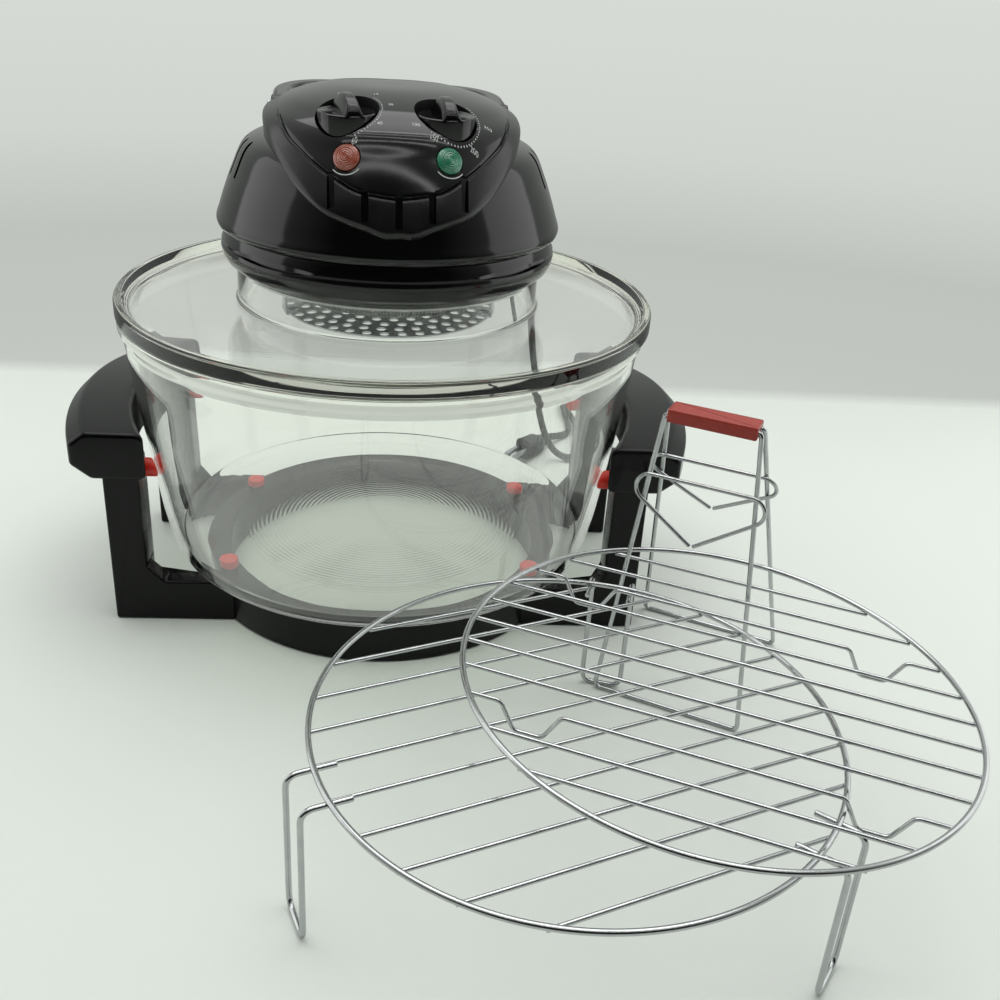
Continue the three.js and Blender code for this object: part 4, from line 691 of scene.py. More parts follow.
rim_line = eased([
    [bead, lid_floor], [lid_rim, lid_floor], [lid_rim, lid_floor + rim_height],
    [lid_rim - rim_width / 2, lid_floor + rim_height], [bead, lid_floor + plate_rise],
    [neck_outer, plate_top], [neck_outer, neck_top], [neck_inner, neck_top],
    [neck_inner, plate_top - glass_wall], [bead - bead_step, lid_floor + plate_rise - glass_wall]],
    lid_edge, 8, closed=True)
build("lid", net(on_lid(turned(rim_line, 220)), "joined"), lid_glass, "lid", ("glass_lid",),
      crease=50)

# %% [markdown]
# ## Red silicone pads
# Eight soft pads keep the hot glass off the plastic. Each side pad is a short round plug on a
# pillar, and its end is hollowed to the bowl's wall: the wall's radius there, squared, less
# the sideways distance squared, gives where the pad has to stop.

# %% Pads
pad_radius, pad_y, pad_z = 6.0, (pillar_back + arm_outer) / 2, 107.0
base_pad_radius, base_pad_circle, base_pad_bearing, base_pad_edge = 6.25, 117, 31, 1.4
around = circle(1, 40)[:, :2]
width_shares = np.array([0, 0.35, 0.6, 0.8, 0.93, 1, 1, 1, 1, 1, 1, 0.96, 0.88, 0.7, 0.45, 0])
length_shares = np.array([0, 0, 0, 0.02, 0.06, 0.16, 0.3, 0.45, 0.6, 0.75, 0.85, 0.94, 0.98, 1,
                          1, 1])[:, None]
pad_rows = pad_radius * width_shares[:, None, None] * around
wall_at = np.interp(pad_z + pad_rows[..., 1], wall_line[:, 1], wall_line[:, 0])
from_x = np.sqrt((wall_at + seat) ** 2 - (pad_y + pad_rows[..., 0]) ** 2)
side_pad = np.stack([from_x + length_shares * (pillar_inner - from_x), pad_y + pad_rows[..., 0],
                     pad_z + pad_rows[..., 1]], -1)
foot_pad = turned(eased([[0, ring_height + seat], [base_pad_radius, ring_height + seat],
                         [base_pad_radius, bowl_base - seat], [0, bowl_base - seat]],
                        base_pad_edge, 6), 40)
pad_at = base_pad_circle * heading(base_pad_bearing)
for side_name, sx in (("left", -1), ("right", 1)):
    for end_name, sy in (("front", -1), ("rear", 1)):
        mirror = [sx, sy, 1]
        build(f"side_pad_{end_name}_{side_name}_plug", net(on_oven(side_pad * mirror)), silicone,
              "stand", (f"side_pad_{end_name}_{side_name}",))
        button = (foot_pad + pad_at) * mirror
        build(f"base_pad_{end_name}_{side_name}_button", net(on_oven(button)), silicone, "stand",
              (f"base_pad_{end_name}_{side_name}",))

# %% [markdown]
# ## The collar and the housing
# The collar clamps the glass neck, and the housing sits on it like a bell. Both are turned, but
# each has openings that aren't round. The collar's four slits are sunk into the grid itself:
# some rows move inwards over some angles, and close up towards both ends like a lens. The
# housing's upright vents are cut out of its wall, as the moulding tool does.

# %% Collar
collar_radius, collar_height, collar_bore, collar_floor = 106.8, 22.4, 99.2, 3.5
collar_base = neck_top + seat
collar_top = collar_base + collar_height
spigot, spigot_wall, spigot_drop, top_edge = neck_inner - 1.0, 3.1, 5.0, 0.5
collar_shares = np.array([[0.9326, 0], [0.962, 0.12], [0.984, 0.344], [0.987, 0.478],
                          [0.984, 0.522], [0.966, 1]])
slit_centre, slit_span, slit_height, slit_rise, slit_sink = 45.0, 38.0, 3.8, 12.6, 3.2
slit_lip, slit_fade, upper_rise = 0.25, 9.0, 12.0


def carve(piece, cutters):
    """Takes closed cutter pieces out of a piece for good, exactly, and then removes them."""
    for cutter in cutters:
        change = piece.modifiers.new(cutter.name, "BOOLEAN")
        change.operation, change.solver, change.object = "DIFFERENCE", "EXACT", cutter
        change.material_mode = "TRANSFER"
    seen = piece.evaluated_get(bpy.context.evaluated_depsgraph_get())
    carved = bpy.data.meshes.new_from_object(seen)
    piece.modifiers.clear()
    piece.data = carved
    carved.set_sharp_from_angle(angle=np.radians(crease_angle))
    for cutter in cutters:
        bpy.data.objects.remove(cutter)
    print(piece.name, "carved to", len(carved.polygons), "faces")


collar_line = collar_shares * [collar_radius, collar_height] + [0, collar_base]
flare = smooth(collar_line[:4], 10)
slit_low, slit_high = collar_base + slit_rise, collar_base + slit_rise + slit_height
upper_z = np.array([collar_base + upper_rise, slit_low - slit_lip, slit_low, slit_high,
                    slit_high + slit_lip, collar_top - 3 * top_edge])
upper = np.stack([np.interp(upper_z, *collar_line[4:].T[::-1]), upper_z], 1)
top_r = upper[-1, 0]
collar_profile = np.vstack([
    flare, upper, [[top_r - 0.5, collar_top - top_edge], [top_r - 1.4, collar_top]],
    [[collar_bore + 0.4, collar_top], [collar_bore, collar_top - top_edge]],
    [[collar_bore, collar_base + collar_floor]],
    [[spigot - spigot_wall, collar_base + collar_floor]],
    [[spigot - spigot_wall, collar_base - spigot_drop], [spigot, collar_base - spigot_drop]],
    [[spigot, collar_base]]])
collar_grid = turned(collar_profile, 288)
angle = np.arctan2(collar_grid[..., 1], collar_grid[..., 0])
from_middle = np.abs(np.abs(np.abs(np.degrees(angle)) - 90) - slit_centre)
sink = slit_sink * ramp((slit_span / 2 - from_middle) / slit_fade)
in_slit = np.isin(collar_profile[:, 1], [slit_low, slit_high])
shrink = 1 - (in_slit[:, None] * sink) / top_r
lens_shape = np.sqrt(np.maximum(1 - (from_middle / (slit_span / 2)) ** 2, 0.003))
slit_middle = (slit_low + slit_high) / 2
near_slit = ((np.abs(collar_profile[:, 1] - slit_middle) < slit_height / 2 + 1.2 * slit_lip)
             & (collar_profile[:, 0] > collar_bore))
collar_grid[..., 2] = np.where(
    near_slit[:, None], slit_middle + (collar_grid[..., 2] - slit_middle) * lens_shape,
    collar_grid[..., 2])
collar_grid[..., :2] *= shrink[..., None]
build("collar_moulding", net(on_head(collar_grid), "joined"), gloss_black, "lid", ("collar_ring",))

# %% Housing
housing_radius, housing_height, housing_wall = 107.4, 60.0, 3.0
housing_shares = np.array([
    [0.965, 0], [0.986, 0.012], [0.998, 0.05], [1, 0.09], [0.982, 0.187], [0.948, 0.367],
    [0.904, 0.567], [0.83, 0.827], [0.735, 0.917], [0.5, 0.975], [0, 1]])
housing_line = smooth(housing_shares * [housing_radius, housing_height] + [0, housing_base], 8)
slope = unit(np.gradient(housing_line, axis=0))
inner_line = housing_line + housing_wall * np.stack([-slope[:, 1], slope[:, 0]], 1)
inner_line[:, 0] = np.maximum(inner_line[:, 0], 0)
inner_line[:, 1] = np.maximum(inner_line[:, 1], housing_base)
housing = build("housing_moulding", net(on_head(turned(
    np.vstack([housing_line[::-1], inner_line]), 256))), gloss_black, "lid", ("head_housing",))
vent_low, vent_high, vent_width, vent_pitch = 282.0, 304.0, 4.0, 9.0
cutter_from, cutter_to, sharp = 78.0, 112.0, 0.01
a = np.linspace(0, np.pi, 9)
half = vent_width / 2
stadium = np.vstack([
    np.stack([half * np.cos(a), vent_high - half + half * np.sin(a)], 1),
    np.stack([-half * np.cos(a), vent_low + half - half * np.sin(a)], 1)])
bar = basis(slab(stadium, cutter_from, cutter_to, sharp, 2), (0, 1, 0), (0, 0, 1), (1, 0, 0))
turns = [side + (i - 2) * vent_pitch for side in (0, 180) for i in range(5)]
carve(housing, [build(f"vent_cutter_{i}", net(on_head(spun(bar, degrees))), gloss_black, None)
                for i, degrees in enumerate(turns)])

# %% [markdown]
# ## The control pod
# This is the piece that takes the most skill. It is a shield in outline, cut from a dome of its
# own that is steeper than the housing. The shield lies on a slope of 40 degrees and the cut runs
# square to that slope, so the height of a surface point is the distance c along the cut at
# which it meets the dome. No formula gives c, so it is found by halving an interval 40 times,
# for all points at once. The outline is read as a radius for every angle round the shield's
# middle: that gives rows from the middle to the groove, over the rim and down the wall.

# %% Pod surface
dome_radius, dome_height, dome_base = 110.2, 87.0, 251.19
dome_shares = np.array([[1, 0], [0.971, 0.178], [0.918, 0.362], [0.8636, 0.5], [0.796, 0.65],
                        [0.73, 0.782], [0.645, 0.855], [0.545, 0.914], [0.33, 0.98], [0, 1]])
pod_tilt = np.radians(40)
tip_reach, tip_height, pod_half_width, pod_length = 109.0, housing_base + 21.5, 76.5, 140.0
pod_shares = np.array([
    [0, 0], [0.105, 0], [0.24, 0.029], [0.4, 0.068], [0.55, 0.121], [0.69, 0.207], [0.804, 0.311],
    [0.889, 0.418], [0.954, 0.529], [0.993, 0.643], [1, 0.75], [0.987, 0.8]])
pod_back = np.array([[0.96, 0.823], [0.765, 0.838], [0.765, 0.893], [0.72, 0.95], [0.6, 0.986],
                     [0.3, 1], [0, 1]])
face_shares = np.array([[0, 0.123], [0.16, 0.137], [0.33, 0.169], [0.556, 0.276], [0.7, 0.376],
                        [0.8, 0.469], [0.869, 0.62], [0.87, 0.75], [0.8, 0.86], [0.6, 0.93],
                        [0, 0.95]])
dome_corners = dome_shares * [dome_radius, dome_height] + [0, dome_base]
dome_line = smooth(dome_corners, 12)


def height_over(line, r):
    """The height of a turned surface at radius r. Beyond its edge it falls off steeply."""
    rising = line[::-1]
    return np.interp(r, rising[:, 0], rising[:, 1]) - 6 * np.maximum(r - rising[-1, 0], 0)


def from_slope(a, b, c):
    """A point given across (a), up the slope (b) and along the cut (c), in the head's frame."""
    return np.stack([a, b * np.cos(pod_tilt) - c * np.sin(pod_tilt) - tip_reach,
                     b * np.sin(pod_tilt) + c * np.cos(pod_tilt) + tip_height], -1)


def cut_height(line, a, b):
    """The c at which the cut through (a, b) meets the turned surface, by halving 40 times."""
    low, high = np.full(a.shape, -75.0), np.full(a.shape, 60.0)
    for _ in range(40):
        middle = (low + high) / 2
        at = from_slope(a, b, middle)
        outside = at[..., 2] > height_over(line, np.hypot(at[..., 0], at[..., 1]))
        low, high = np.where(outside, low, middle), np.where(outside, middle, high)
    return (low + high) / 2


middle_b = 80.0
pod_angles = round_angles(480) - np.pi


def radius_round(outline):
    """Distance from the shield's middle to its outline at every pod angle."""
    offset = outline - [0, middle_b]
    a = np.arctan2(offset[:, 1], offset[:, 0])
    order = np.argsort(a)
    return np.interp(pod_angles, a[order], np.hypot(*offset.T)[order], period=2 * np.pi)


def both_sides(half):
    """A half outline with its mirror image, once round."""
    return np.vstack([half, (half * [-1, 1])[::-1][1:-1]])


size = [pod_half_width, pod_length]
pod_edge, back_corner = smooth(pod_shares * size, 12), 4.0
pod_outline = both_sides(np.vstack([pod_edge, eased(pod_back * size, back_corner, 6)]))
face_outline = both_sides(smooth(face_shares * size, 12))
rim_r, face_r = radius_round(pod_outline), radius_round(face_outline)
groove_half, groove_depth, rim_edge, rim_drop, pod_sink = 1.5, 1.5, 2.6, 2.34, 1.8
face_rows = [share * (face_r - groove_half) for share in np.linspace(0, 1, 42)[:-1] ** 0.9]
groove_place = groove_half * np.array([-30, -21, -16, -11, 0, 11, 16, 21, 30]) / 30
groove_share = np.array([0, 0.08, 0.5, 0.92, 1, 0.92, 0.5, 0.08, 0])
groove_rows = [face_r + place for place in groove_place]
band_rows = [face_r + groove_half + share * (rim_r - rim_edge - face_r - groove_half)
             for share in np.linspace(0, 1, 16)[1:-1]]
t = np.linspace(0, np.pi / 2, 9)
edge_rows = [rim_r - rim_edge * (1 - share) for share in np.sin(t)]
edge_drop = rim_drop * (1 - np.cos(t))
top_radii = np.array(face_rows + groove_rows + band_rows + edge_rows)
a = top_radii * np.cos(pod_angles)
b = middle_b + top_radii * np.sin(pod_angles)
c = cut_height(dome_line, a, b)
groove_fade = ramp((0.66 * pod_length - b) / 12)
in_groove = slice(len(face_rows), len(face_rows) + len(groove_rows))
c[in_groove] -= groove_depth * groove_share[:, None] * groove_fade[in_groove]
c[-len(edge_rows):] -= edge_drop[:, None]
lowest = cut_height(housing_line, a[-1], b[-1]) - pod_sink
wall_share = np.linspace(0, 1, 10)[1:, None]
wall_c = c[-1] + wall_share * np.minimum(lowest - c[-1], -0.5)
wall_a, wall_b = a[-1] + 0 * wall_share, b[-1] + 0 * wall_share
under_share = np.linspace(1, 0, 8)[1:, None]
under_a, under_b = a[-1] * under_share, middle_b + (b[-1] - middle_b) * under_share
under_c = cut_height(housing_line, under_a, under_b) - pod_sink
pod_grid = np.vstack([from_slope(a, b, c), from_slope(wall_a, wall_b, wall_c),
                      from_slope(under_a, under_b, under_c)])
pod = build("control_pod", net(on_head(pod_grid)), gloss_black, "lid", ("control_panel",))
pod.data.materials.append(satin_black)
centres = np.empty(len(pod.data.polygons) * 3)
pod.data.polygons.foreach_get("center", centres)
in_head = spun(centres.reshape(-1, 3) / mm - bowl_axis - [lid_shift, 0, 0], -head_turn)
from_middle_a = in_head[:, 0]
from_middle_b = ((in_head[:, 1] + tip_reach) * np.cos(pod_tilt)
                 + (in_head[:, 2] - tip_height) * np.sin(pod_tilt) - middle_b)
bearing = np.arctan2(from_middle_b, from_middle_a)
on_rim = np.hypot(from_middle_a, from_middle_b) > np.interp(
    bearing, pod_angles, face_r + 0.5, period=2 * np.pi)
pod.data.polygons.foreach_set("material_index", on_rim.astype(np.int32))
print("rim faces", on_rim.sum())

# %% [markdown]
# ## Openings in the pod
# The knobs and lamps sit in round recesses, and five slots run down the front like a grille.
# Each cutter is a closed form of its own. A slot's floor follows the dome at an even depth, so
# it is a small grid whose lower corners are looked up on the dome.

# %% Controls and cutters
knob_offset, knob_forward, knob_tilt, knob_radius, knob_recess = 27.6, 59.5, 3.0, 16.6, 12.3
lamp_offset, lamp_forward, lamp_radius, lamp_dome, lamp_depth = 28.4, 83.5, 7.5, 3.0, 1.6
knob_room, lamp_room, above = 1.4, 0.7, 8.0
slot_half, slot_pitch, slot_depth = 2.0, 18.5, 5.0
pivot_y, pivot_z = 6.0, housing_base + 69.5
bail_half, bail_outer, bail_arm = 5.5, 72.5, 12.7
bail_inner = bail_outer - bail_arm
well_side, well_room, well_front, well_out, well_back, well_top = 0.5, 6.0, 6.0, 82.0, 70.0, 40.0


def seat_on(x, y, out=None):
    """A control's frame (x axis, y axis, outward axis, origin) on the dome above (x, y). The
    outward axis is square to the dome there, unless another is given."""
    r = np.hypot(x, y)
    rising = dome_corners[::-1]
    i = np.searchsorted(rising[:, 0], r)
    (r0, z0), (r1, z1) = rising[i - 1], rising[i]
    origin = np.array([x, y, z0 + (z1 - z0) * (r - r0) / (r1 - r0)])
    if out is None:
        out = unit(np.array([x / r * (z0 - z1), y / r * (z0 - z1), r1 - r0]))
    side = unit(np.cross([0, 1.0, 0], out))
    return side, np.cross(out, side), out, origin


knob_axis = np.array([0, -np.sin(np.radians(knob_tilt)), np.cos(np.radians(knob_tilt))])
knob_seats = [seat_on(sx * knob_offset, -knob_forward, knob_axis) for sx in (-1, 1)]
lamp_seats = [seat_on(sx * lamp_offset, -lamp_forward) for sx in (-1, 1)]
drill = lambda r, low, high, at: net(on_head(basis(
    turned([[0, low], [r, low], [r, high], [0, high]], 96), *at)))
cutter_nets = [drill(knob_radius + knob_room, -knob_recess, 30, at) for at in knob_seats]
cutter_nets += [drill(lamp_radius + lamp_room, -lamp_depth - seat, 9, at) for at in lamp_seats]
face_edge = smooth(face_shares[:7] * size, 12)
for centre in (np.arange(5) - 2) * slot_pitch:
    low = np.interp(abs(centre), *pod_edge.T) + 3
    high = np.interp(abs(centre), *face_edge.T) + 2
    b = np.linspace(low, high, 24)[:, None]
    a = centre + slot_half * np.array([[-1, 1, 1, -1]])
    a, b = np.broadcast_arrays(a, b)
    c = cut_height(dome_line, a, b) + [-slot_depth, -slot_depth, above, above]
    cutter_nets.append(net(on_head(from_slope(a, b, c))))
near_x, near_y = bail_inner - well_side, pivot_y - well_front
well = slab([[near_x, near_y], [well_out, near_y], [well_out, well_back], [near_x, well_back]],
            pivot_z - well_room, pivot_z + well_top, sharp, 2)
cutter_nets += [net(on_head(well * [sx, 1, 1])) for sx in (-1, 1)]
carve(pod, [build(f"pod_cutter_{i}", [one], hollow, None) for i, one in enumerate(cutter_nets)])

# %% [markdown]
# ## Knobs, lamps and marks
# A knob is a disc with an arched bar across it, scooped at both sides so that fingers find the
# bar. The bar is a stack of cross-sections whose height follows an ellipse from rim to rim.
# The marks are thin print: flat forms laid a tenth of a millimetre over the dome, so they keep
# their shape from every side.

# %% Knobs
grip_height, grip_width, grip_top, grip_sink, grip_room = 10.3, 12.0, 8.4, 2.2, 0.5
dish_line, dish_edge = [[0, -1.3], [9, -1.2], [14.2, -0.3], [15.6, 0.15]], 0.9
grip_rows, grip_columns = 41, 25
dish = eased([*dish_line, [knob_radius, -0.3], [knob_radius, seat - knob_recess],
              [0, seat - knob_recess]], dish_edge, 6)
s = np.sin(np.linspace(-np.pi / 2, np.pi / 2, grip_rows))
u = np.linspace(-1, 1, grip_columns)
arch = grip_height * np.sqrt(np.clip(1 - s ** 2, 0, 1)) + 0.02
profile_up = 1 - np.abs(u) ** 7
half_here = (grip_width + (grip_top - grip_width) * profile_up) / 2
along = s * (knob_radius - grip_room)
top_line = np.stack([np.broadcast_to(u * half_here, (grip_rows, grip_columns)),
                     np.broadcast_to(along[:, None], (grip_rows, grip_columns)),
                     arch[:, None] * profile_up - 0.6], -1)
low_line = np.stack([0 * s + grip_width / 2, along, 0 * s - grip_sink], -1)
grip_grid = np.concatenate([top_line, low_line[:, None], low_line[:, None] * [-1, 1, 1]], 1)
for at, node_name, degrees in zip(knob_seats, ("timer", "thermostat"), (14, 8)):
    forms = [net(on_head(basis(spun(grid, degrees), *at)))
             for grid in (turned(dish, 96), grip_grid)]
    build(f"{node_name}_dial", forms, knob_black, node_name, (f"{node_name}_knob",))

# %% Lamps
rib_height, rib_pitch, rib_end = 0.16, 1.25, 6.6
ribs = np.linspace(0, np.pi / 2, 26)
lens_r = lamp_radius * np.sin(ribs)
ribbing = rib_height * np.cos(lens_r * 2 * np.pi / rib_pitch) * (lens_r < rib_end)
lens_line = np.vstack([np.stack([lens_r, lamp_dome * np.cos(ribs) + ribbing], 1),
                       [[lamp_radius, -lamp_depth], [0, -lamp_depth]]])
for at, name, shade, other, node_name in (
        (lamp_seats[0], "amber", (120, 40, 26), (196, 104, 76), "power_lamp"),
        (lamp_seats[1], "green", (10, 96, 70), (64, 160, 122), "heat_lamp")):
    lens_finish = finish(f"{name}_lens", screen(*shade), screen(*other), 0.12, cloud=260,
                         bump=0.3, fine=1400, **{"Coat Weight": 0.6, "Transmission Weight": 0.15})
    build(f"{name}_lamp_lens", net(on_head(basis(turned(lens_line, 72), *at))), lens_finish, "lid",
          (node_name,))

# %% Printed marks
number_height, arc_radius, arc_width, tick_radius, tick_turn = 3.2, 9.8, 0.6, 19.5, 0.9


def on_dome(flat, seat_frame, lift=0.12):
    """Flat points (x, y) in a control's frame, moved along its outward axis onto the dome, by
    the gap above the dome times the axis's rise, until the gap is gone, and then lifted off."""
    side, upward, out, origin = seat_frame
    points = origin + flat[..., :1] * side + flat[..., 1:2] * upward
    for _ in range(14):
        gap = points[..., 2] - height_over(dome_line, np.hypot(points[..., 0], points[..., 1]))
        points = points - (gap * out[2])[..., None] * out
    return points + lift * out


def arc_mark(seat_frame, radius, start, end, width, steps=24):
    """A bent strip: rows along the arc, two columns across its width, and as many below."""
    a = np.radians(np.linspace(start, end, steps))[:, None]
    r = radius + np.array([[-width / 2, width / 2]])
    flat = np.stack([r * np.cos(a), r * np.sin(a)], -1)
    top, under = on_dome(flat, seat_frame), on_dome(flat, seat_frame, -0.3)
    return net(np.concatenate([top, under[:, ::-1]], 1))


def number_mark(text, seat_frame, place):
    """A number set flat, laid on the dome at a place in a control's frame."""
    curve = bpy.data.curves.new("number", "FONT")
    curve.body, curve.size = text, number_height
    curve.align_x, curve.align_y = "CENTER", "CENTER"
    points, faces = filled(curve)
    return on_dome(points[:, :2] + place, seat_frame), faces


def levelled(seat_frame):
    """The same frame, turned until its x axis lies level in the picture."""
    out = seat_frame[2]
    level = unit(np.cross((0, 0.4, 0.92), out))
    return level, np.cross(out, level), out, seat_frame[3]


marks = [arc_mark(levelled(at), arc_radius, 222, 318, arc_width) for at in lamp_seats]
for at, start, end, count in ((knob_seats[0], -78, 38, 22), (knob_seats[1], -118, 46, 30)):
    marks += [arc_mark(at, tick_radius, degrees - tick_turn, degrees + tick_turn, arc_width, 3)
              for degrees in np.linspace(start, end, count)]
for at, scale in ((knob_seats[0], (("0", 100), ("15", 48), ("30", 8), ("45", -38), ("60", -80))),
                  (knob_seats[1], (("100", -142), ("150", -112), ("200", -46), ("250", 2)))):
    for text, degrees in scale:
        reach = 24.5 - 3.0 * ramp(-np.sin(np.radians(degrees)))
        marks.append(number_mark(text, at, reach * heading(degrees)[:2]))
build("panel_marks", [(on_head(points), faces) for points, faces in marks], white_print, "lid")

# %% [markdown]
# ## The carry handle
# The handle is a rounded hoop that folds down behind the pod. Its outline is two arms and a bar
# with round corners, and it turns on two pins in the sides of the head.

# %% Carry handle
bail_reach, bail_bar, bail_corner, bail_rest = 60.0, 13.0, 36.0, np.radians(4)
bail_edge, knuckle_edge, pin_radius, pin_in, pin_out = 3.6, 1.4, 2.5, 9.0, 15.0
a = np.linspace(0, np.pi / 2, 17)
corner = np.stack([np.cos(a), np.sin(a)], 1)
outer = np.vstack([[[bail_outer, 0]], [bail_outer - bail_corner, bail_reach - bail_corner]
                   + bail_corner * corner])
r = bail_corner - bail_bar
inner = np.vstack([[[bail_inner, 0]], [bail_inner - r, bail_reach - bail_bar - r] + r * corner])
hoop = np.vstack([outer, (outer * [-1, 1])[::-1], inner * [-1, 1], inner[::-1]])
lean_y = (0, np.cos(bail_rest), np.sin(bail_rest))
lean_z = (0, -np.sin(bail_rest), np.cos(bail_rest))
hoop_grid = slab(hoop, -bail_half, bail_half, bail_edge, 7)
knuckle = basis(turned(eased([[0, bail_inner], [bail_half, bail_inner], [bail_half, bail_outer],
                              [0, bail_outer]], knuckle_edge, 6), 48),
                (0, 1, 0), (0, 0, 1), (1, 0, 0))
hoop_nets = [net(on_head(basis(grid, (1, 0, 0), lean_y, lean_z, (0, pivot_y, pivot_z))))
             for grid in (hoop_grid, knuckle, knuckle * [-1, 1, 1])]
build("carry_hoop", hoop_nets, gloss_black, "bail", ("carry_handle",))
pin_from, pin_to = bail_inner - pin_in, bail_inner + pin_out
pin = turned(eased([[0, pin_from], [pin_radius, pin_from], [pin_radius, pin_to], [0, pin_to]],
                   0.6, 5), 32)
for side_name, sx in (("left", -1), ("right", 1)):
    rod = basis(pin, (0, 1, 0), (0, 0, 1), (1, 0, 0), (0, pivot_y, pivot_z)) * [sx, 1, 1]
    build(f"hoop_pin_{side_name}", net(on_head(rod)), brushed, "lid", (f"handle_pin_{side_name}",))

# %% [markdown]
# ## Heater, fan and guard
# Through the glass neck one sees the ring lamp, the fan and the pierced guard below them. The
# lamp is a clear tube with a coiled wire inside: the coil is a small circle carried round the
# big one, 172 turns of it.

# %% Heater
pan_top = collar_base - 5.3
pan_centre, pan_under = pan_top + 5, pan_top + 3.8
heater_circle, heater_radius, heater_z, block_drop = 60.0, 5.0, pan_under - 14, 7.3
coil_radius, coil_wire, coil_turns, heater_bend = 3.1, 0.42, 172, 5.0
gap = np.radians(34) / 2
a = np.linspace(np.pi / 2 + gap, 5 * np.pi / 2 - gap, 160)
ring_path = np.stack([heater_circle * np.cos(a), heater_circle * np.sin(a), 0 * a + heater_z], 1)
rise = [0, 0, pan_under - 3.6 - heater_z]
tube_path = eased(np.vstack([ring_path[:1] + rise, ring_path, ring_path[-1:] + rise]),
                  heater_bend, 5)
build("heater_ring", net(on_head(tube(tube_path, heater_radius, 24, hint=(0.01, 0.02, 1)))),
      quartz, "lid", ("heater_tube",))
t = np.linspace(0.01, 0.99, 1900)
ring_at = np.pi / 2 + gap + t * (2 * np.pi - 2 * gap)
coil_at = 2 * np.pi * coil_turns * t
coil_r = heater_circle + coil_radius * np.cos(coil_at)
coil = np.stack([coil_r * np.cos(ring_at), coil_r * np.sin(ring_at),
                 heater_z + coil_radius * np.sin(coil_at)], 1)
build("heater_coil", net(on_head(tube(coil, coil_wire, 5))), brushed, "lid")
socket = eased(rectangle(26, 8), 3, 6, closed=True)
end_block = (slab(socket, pan_under - block_drop, pan_under - seat, 1.0)
             + [0, heater_circle * np.cos(gap), 0])
build("heater_end_block", net(on_head(end_block)), porcelain, "lid", ("heater_socket",))
pan_outer, pan_hole = neck_inner - 1.4, 6.0
pan_profile = np.vstack([
    smooth([[pan_outer, pan_top], [pan_outer - 5, pan_top + 0.2], [pan_outer - 8, pan_top + 4.4],
            [pan_outer - 12, pan_centre]], 6),
    [[pan_hole, pan_centre], [pan_hole, pan_under]],
    smooth([[pan_outer - 12.6, pan_under], [pan_outer - 8.8, pan_under - 1.0],
            [pan_outer - 5.6, pan_top - 1.1], [pan_outer, pan_top - 1.2]], 6)])
build("mirror_pan", net(on_head(turned(pan_profile, 160)), "joined"), sheet_metal, "lid",
      ("reflector_pan",))
shaft_low, shaft_high, shaft_radius = pan_under - 22, collar_base + 49.1, 3.0
shaft = turned(eased([[0, shaft_low], [shaft_radius, shaft_low], [shaft_radius, shaft_high],
                      [0, shaft_high]], 0.7, 5), 32)
build("drive_shaft", net(on_head(shaft)), brushed, "rotor", ("fan_shaft",))

# %% Fans
def fan(radius, blades, low, hub_radius=8.0, hub_height=10.0):
    """A hub and blades. A blade's corners are (distance out, across, height) in its own frame,
    and it leans by 30 degrees, with a light twist towards its tip."""
    bore = shaft_radius + 0.05
    hub = turned(eased([[bore, low], [hub_radius, low], [hub_radius, low + hub_height],
                        [bore, low + hub_height]], 1.0, 5, closed=True), 48)
    out = np.linspace(hub_radius - 2, radius, 14)[:, None]
    share = (out - hub_radius) / (radius - hub_radius)
    corners = rectangle(4.5, 0.5)
    lean = np.radians(30 + 12 * share)
    round_off = np.sqrt(np.clip(1 - np.clip((share - 0.75) / 0.3, 0, 1) ** 2, 0.1, 1))
    y = corners[:, 0] * round_off
    thick = corners[:, 1]
    blade = np.stack([np.broadcast_to(out, y.shape), thick * np.cos(lean) - y * np.sin(lean),
                      low + hub_height / 2 + y * np.cos(lean) + thick * np.sin(lean)], -1)
    return [(on_head(points), faces) for points, faces in
            [net(hub, "joined")] + [net(spun(blade, 360 * i / blades)) for i in range(blades)]]


build("hot_air_fan", fan(45, 6, pan_under - 20), sheet_metal, "rotor", ("convection_fan",))
build("cool_air_fan", fan(37, 5, collar_base + 10.8), sheet_metal, "rotor", ("cooling_fan",))

# %% Guard
guard_radius, guard_top, guard_sheet = 69.0, pan_under - 27.5, 1.0
hole_radius, outer_ring, ring_step, hole_step, hole_turn = 3.1, 65.0, 8.35, 10.8, 0.4
hook_gap, hook_foot, hook_half, hook_sheet = 0.9, 7.0, 4.0, 1.2
sheet = bpy.data.curves.new("guard_sheet", "CURVE")
sheet.dimensions, sheet.fill_mode, sheet.extrude = "2D", "BOTH", guard_sheet / 2 * mm


def cut_round(radius, x, y, count):
    """Adds a circle to the guard's flat curve. Inside another circle it is a hole."""
    flat = on_head(circle(radius, count) + [x, y, 0])[:, :2] * mm
    spline = sheet.splines.new("POLY")
    spline.points.add(count - 1)
    spline.points.foreach_set(
        "co", np.column_stack([flat, np.zeros(count), np.ones(count)]).ravel())
    spline.use_cyclic_u = True


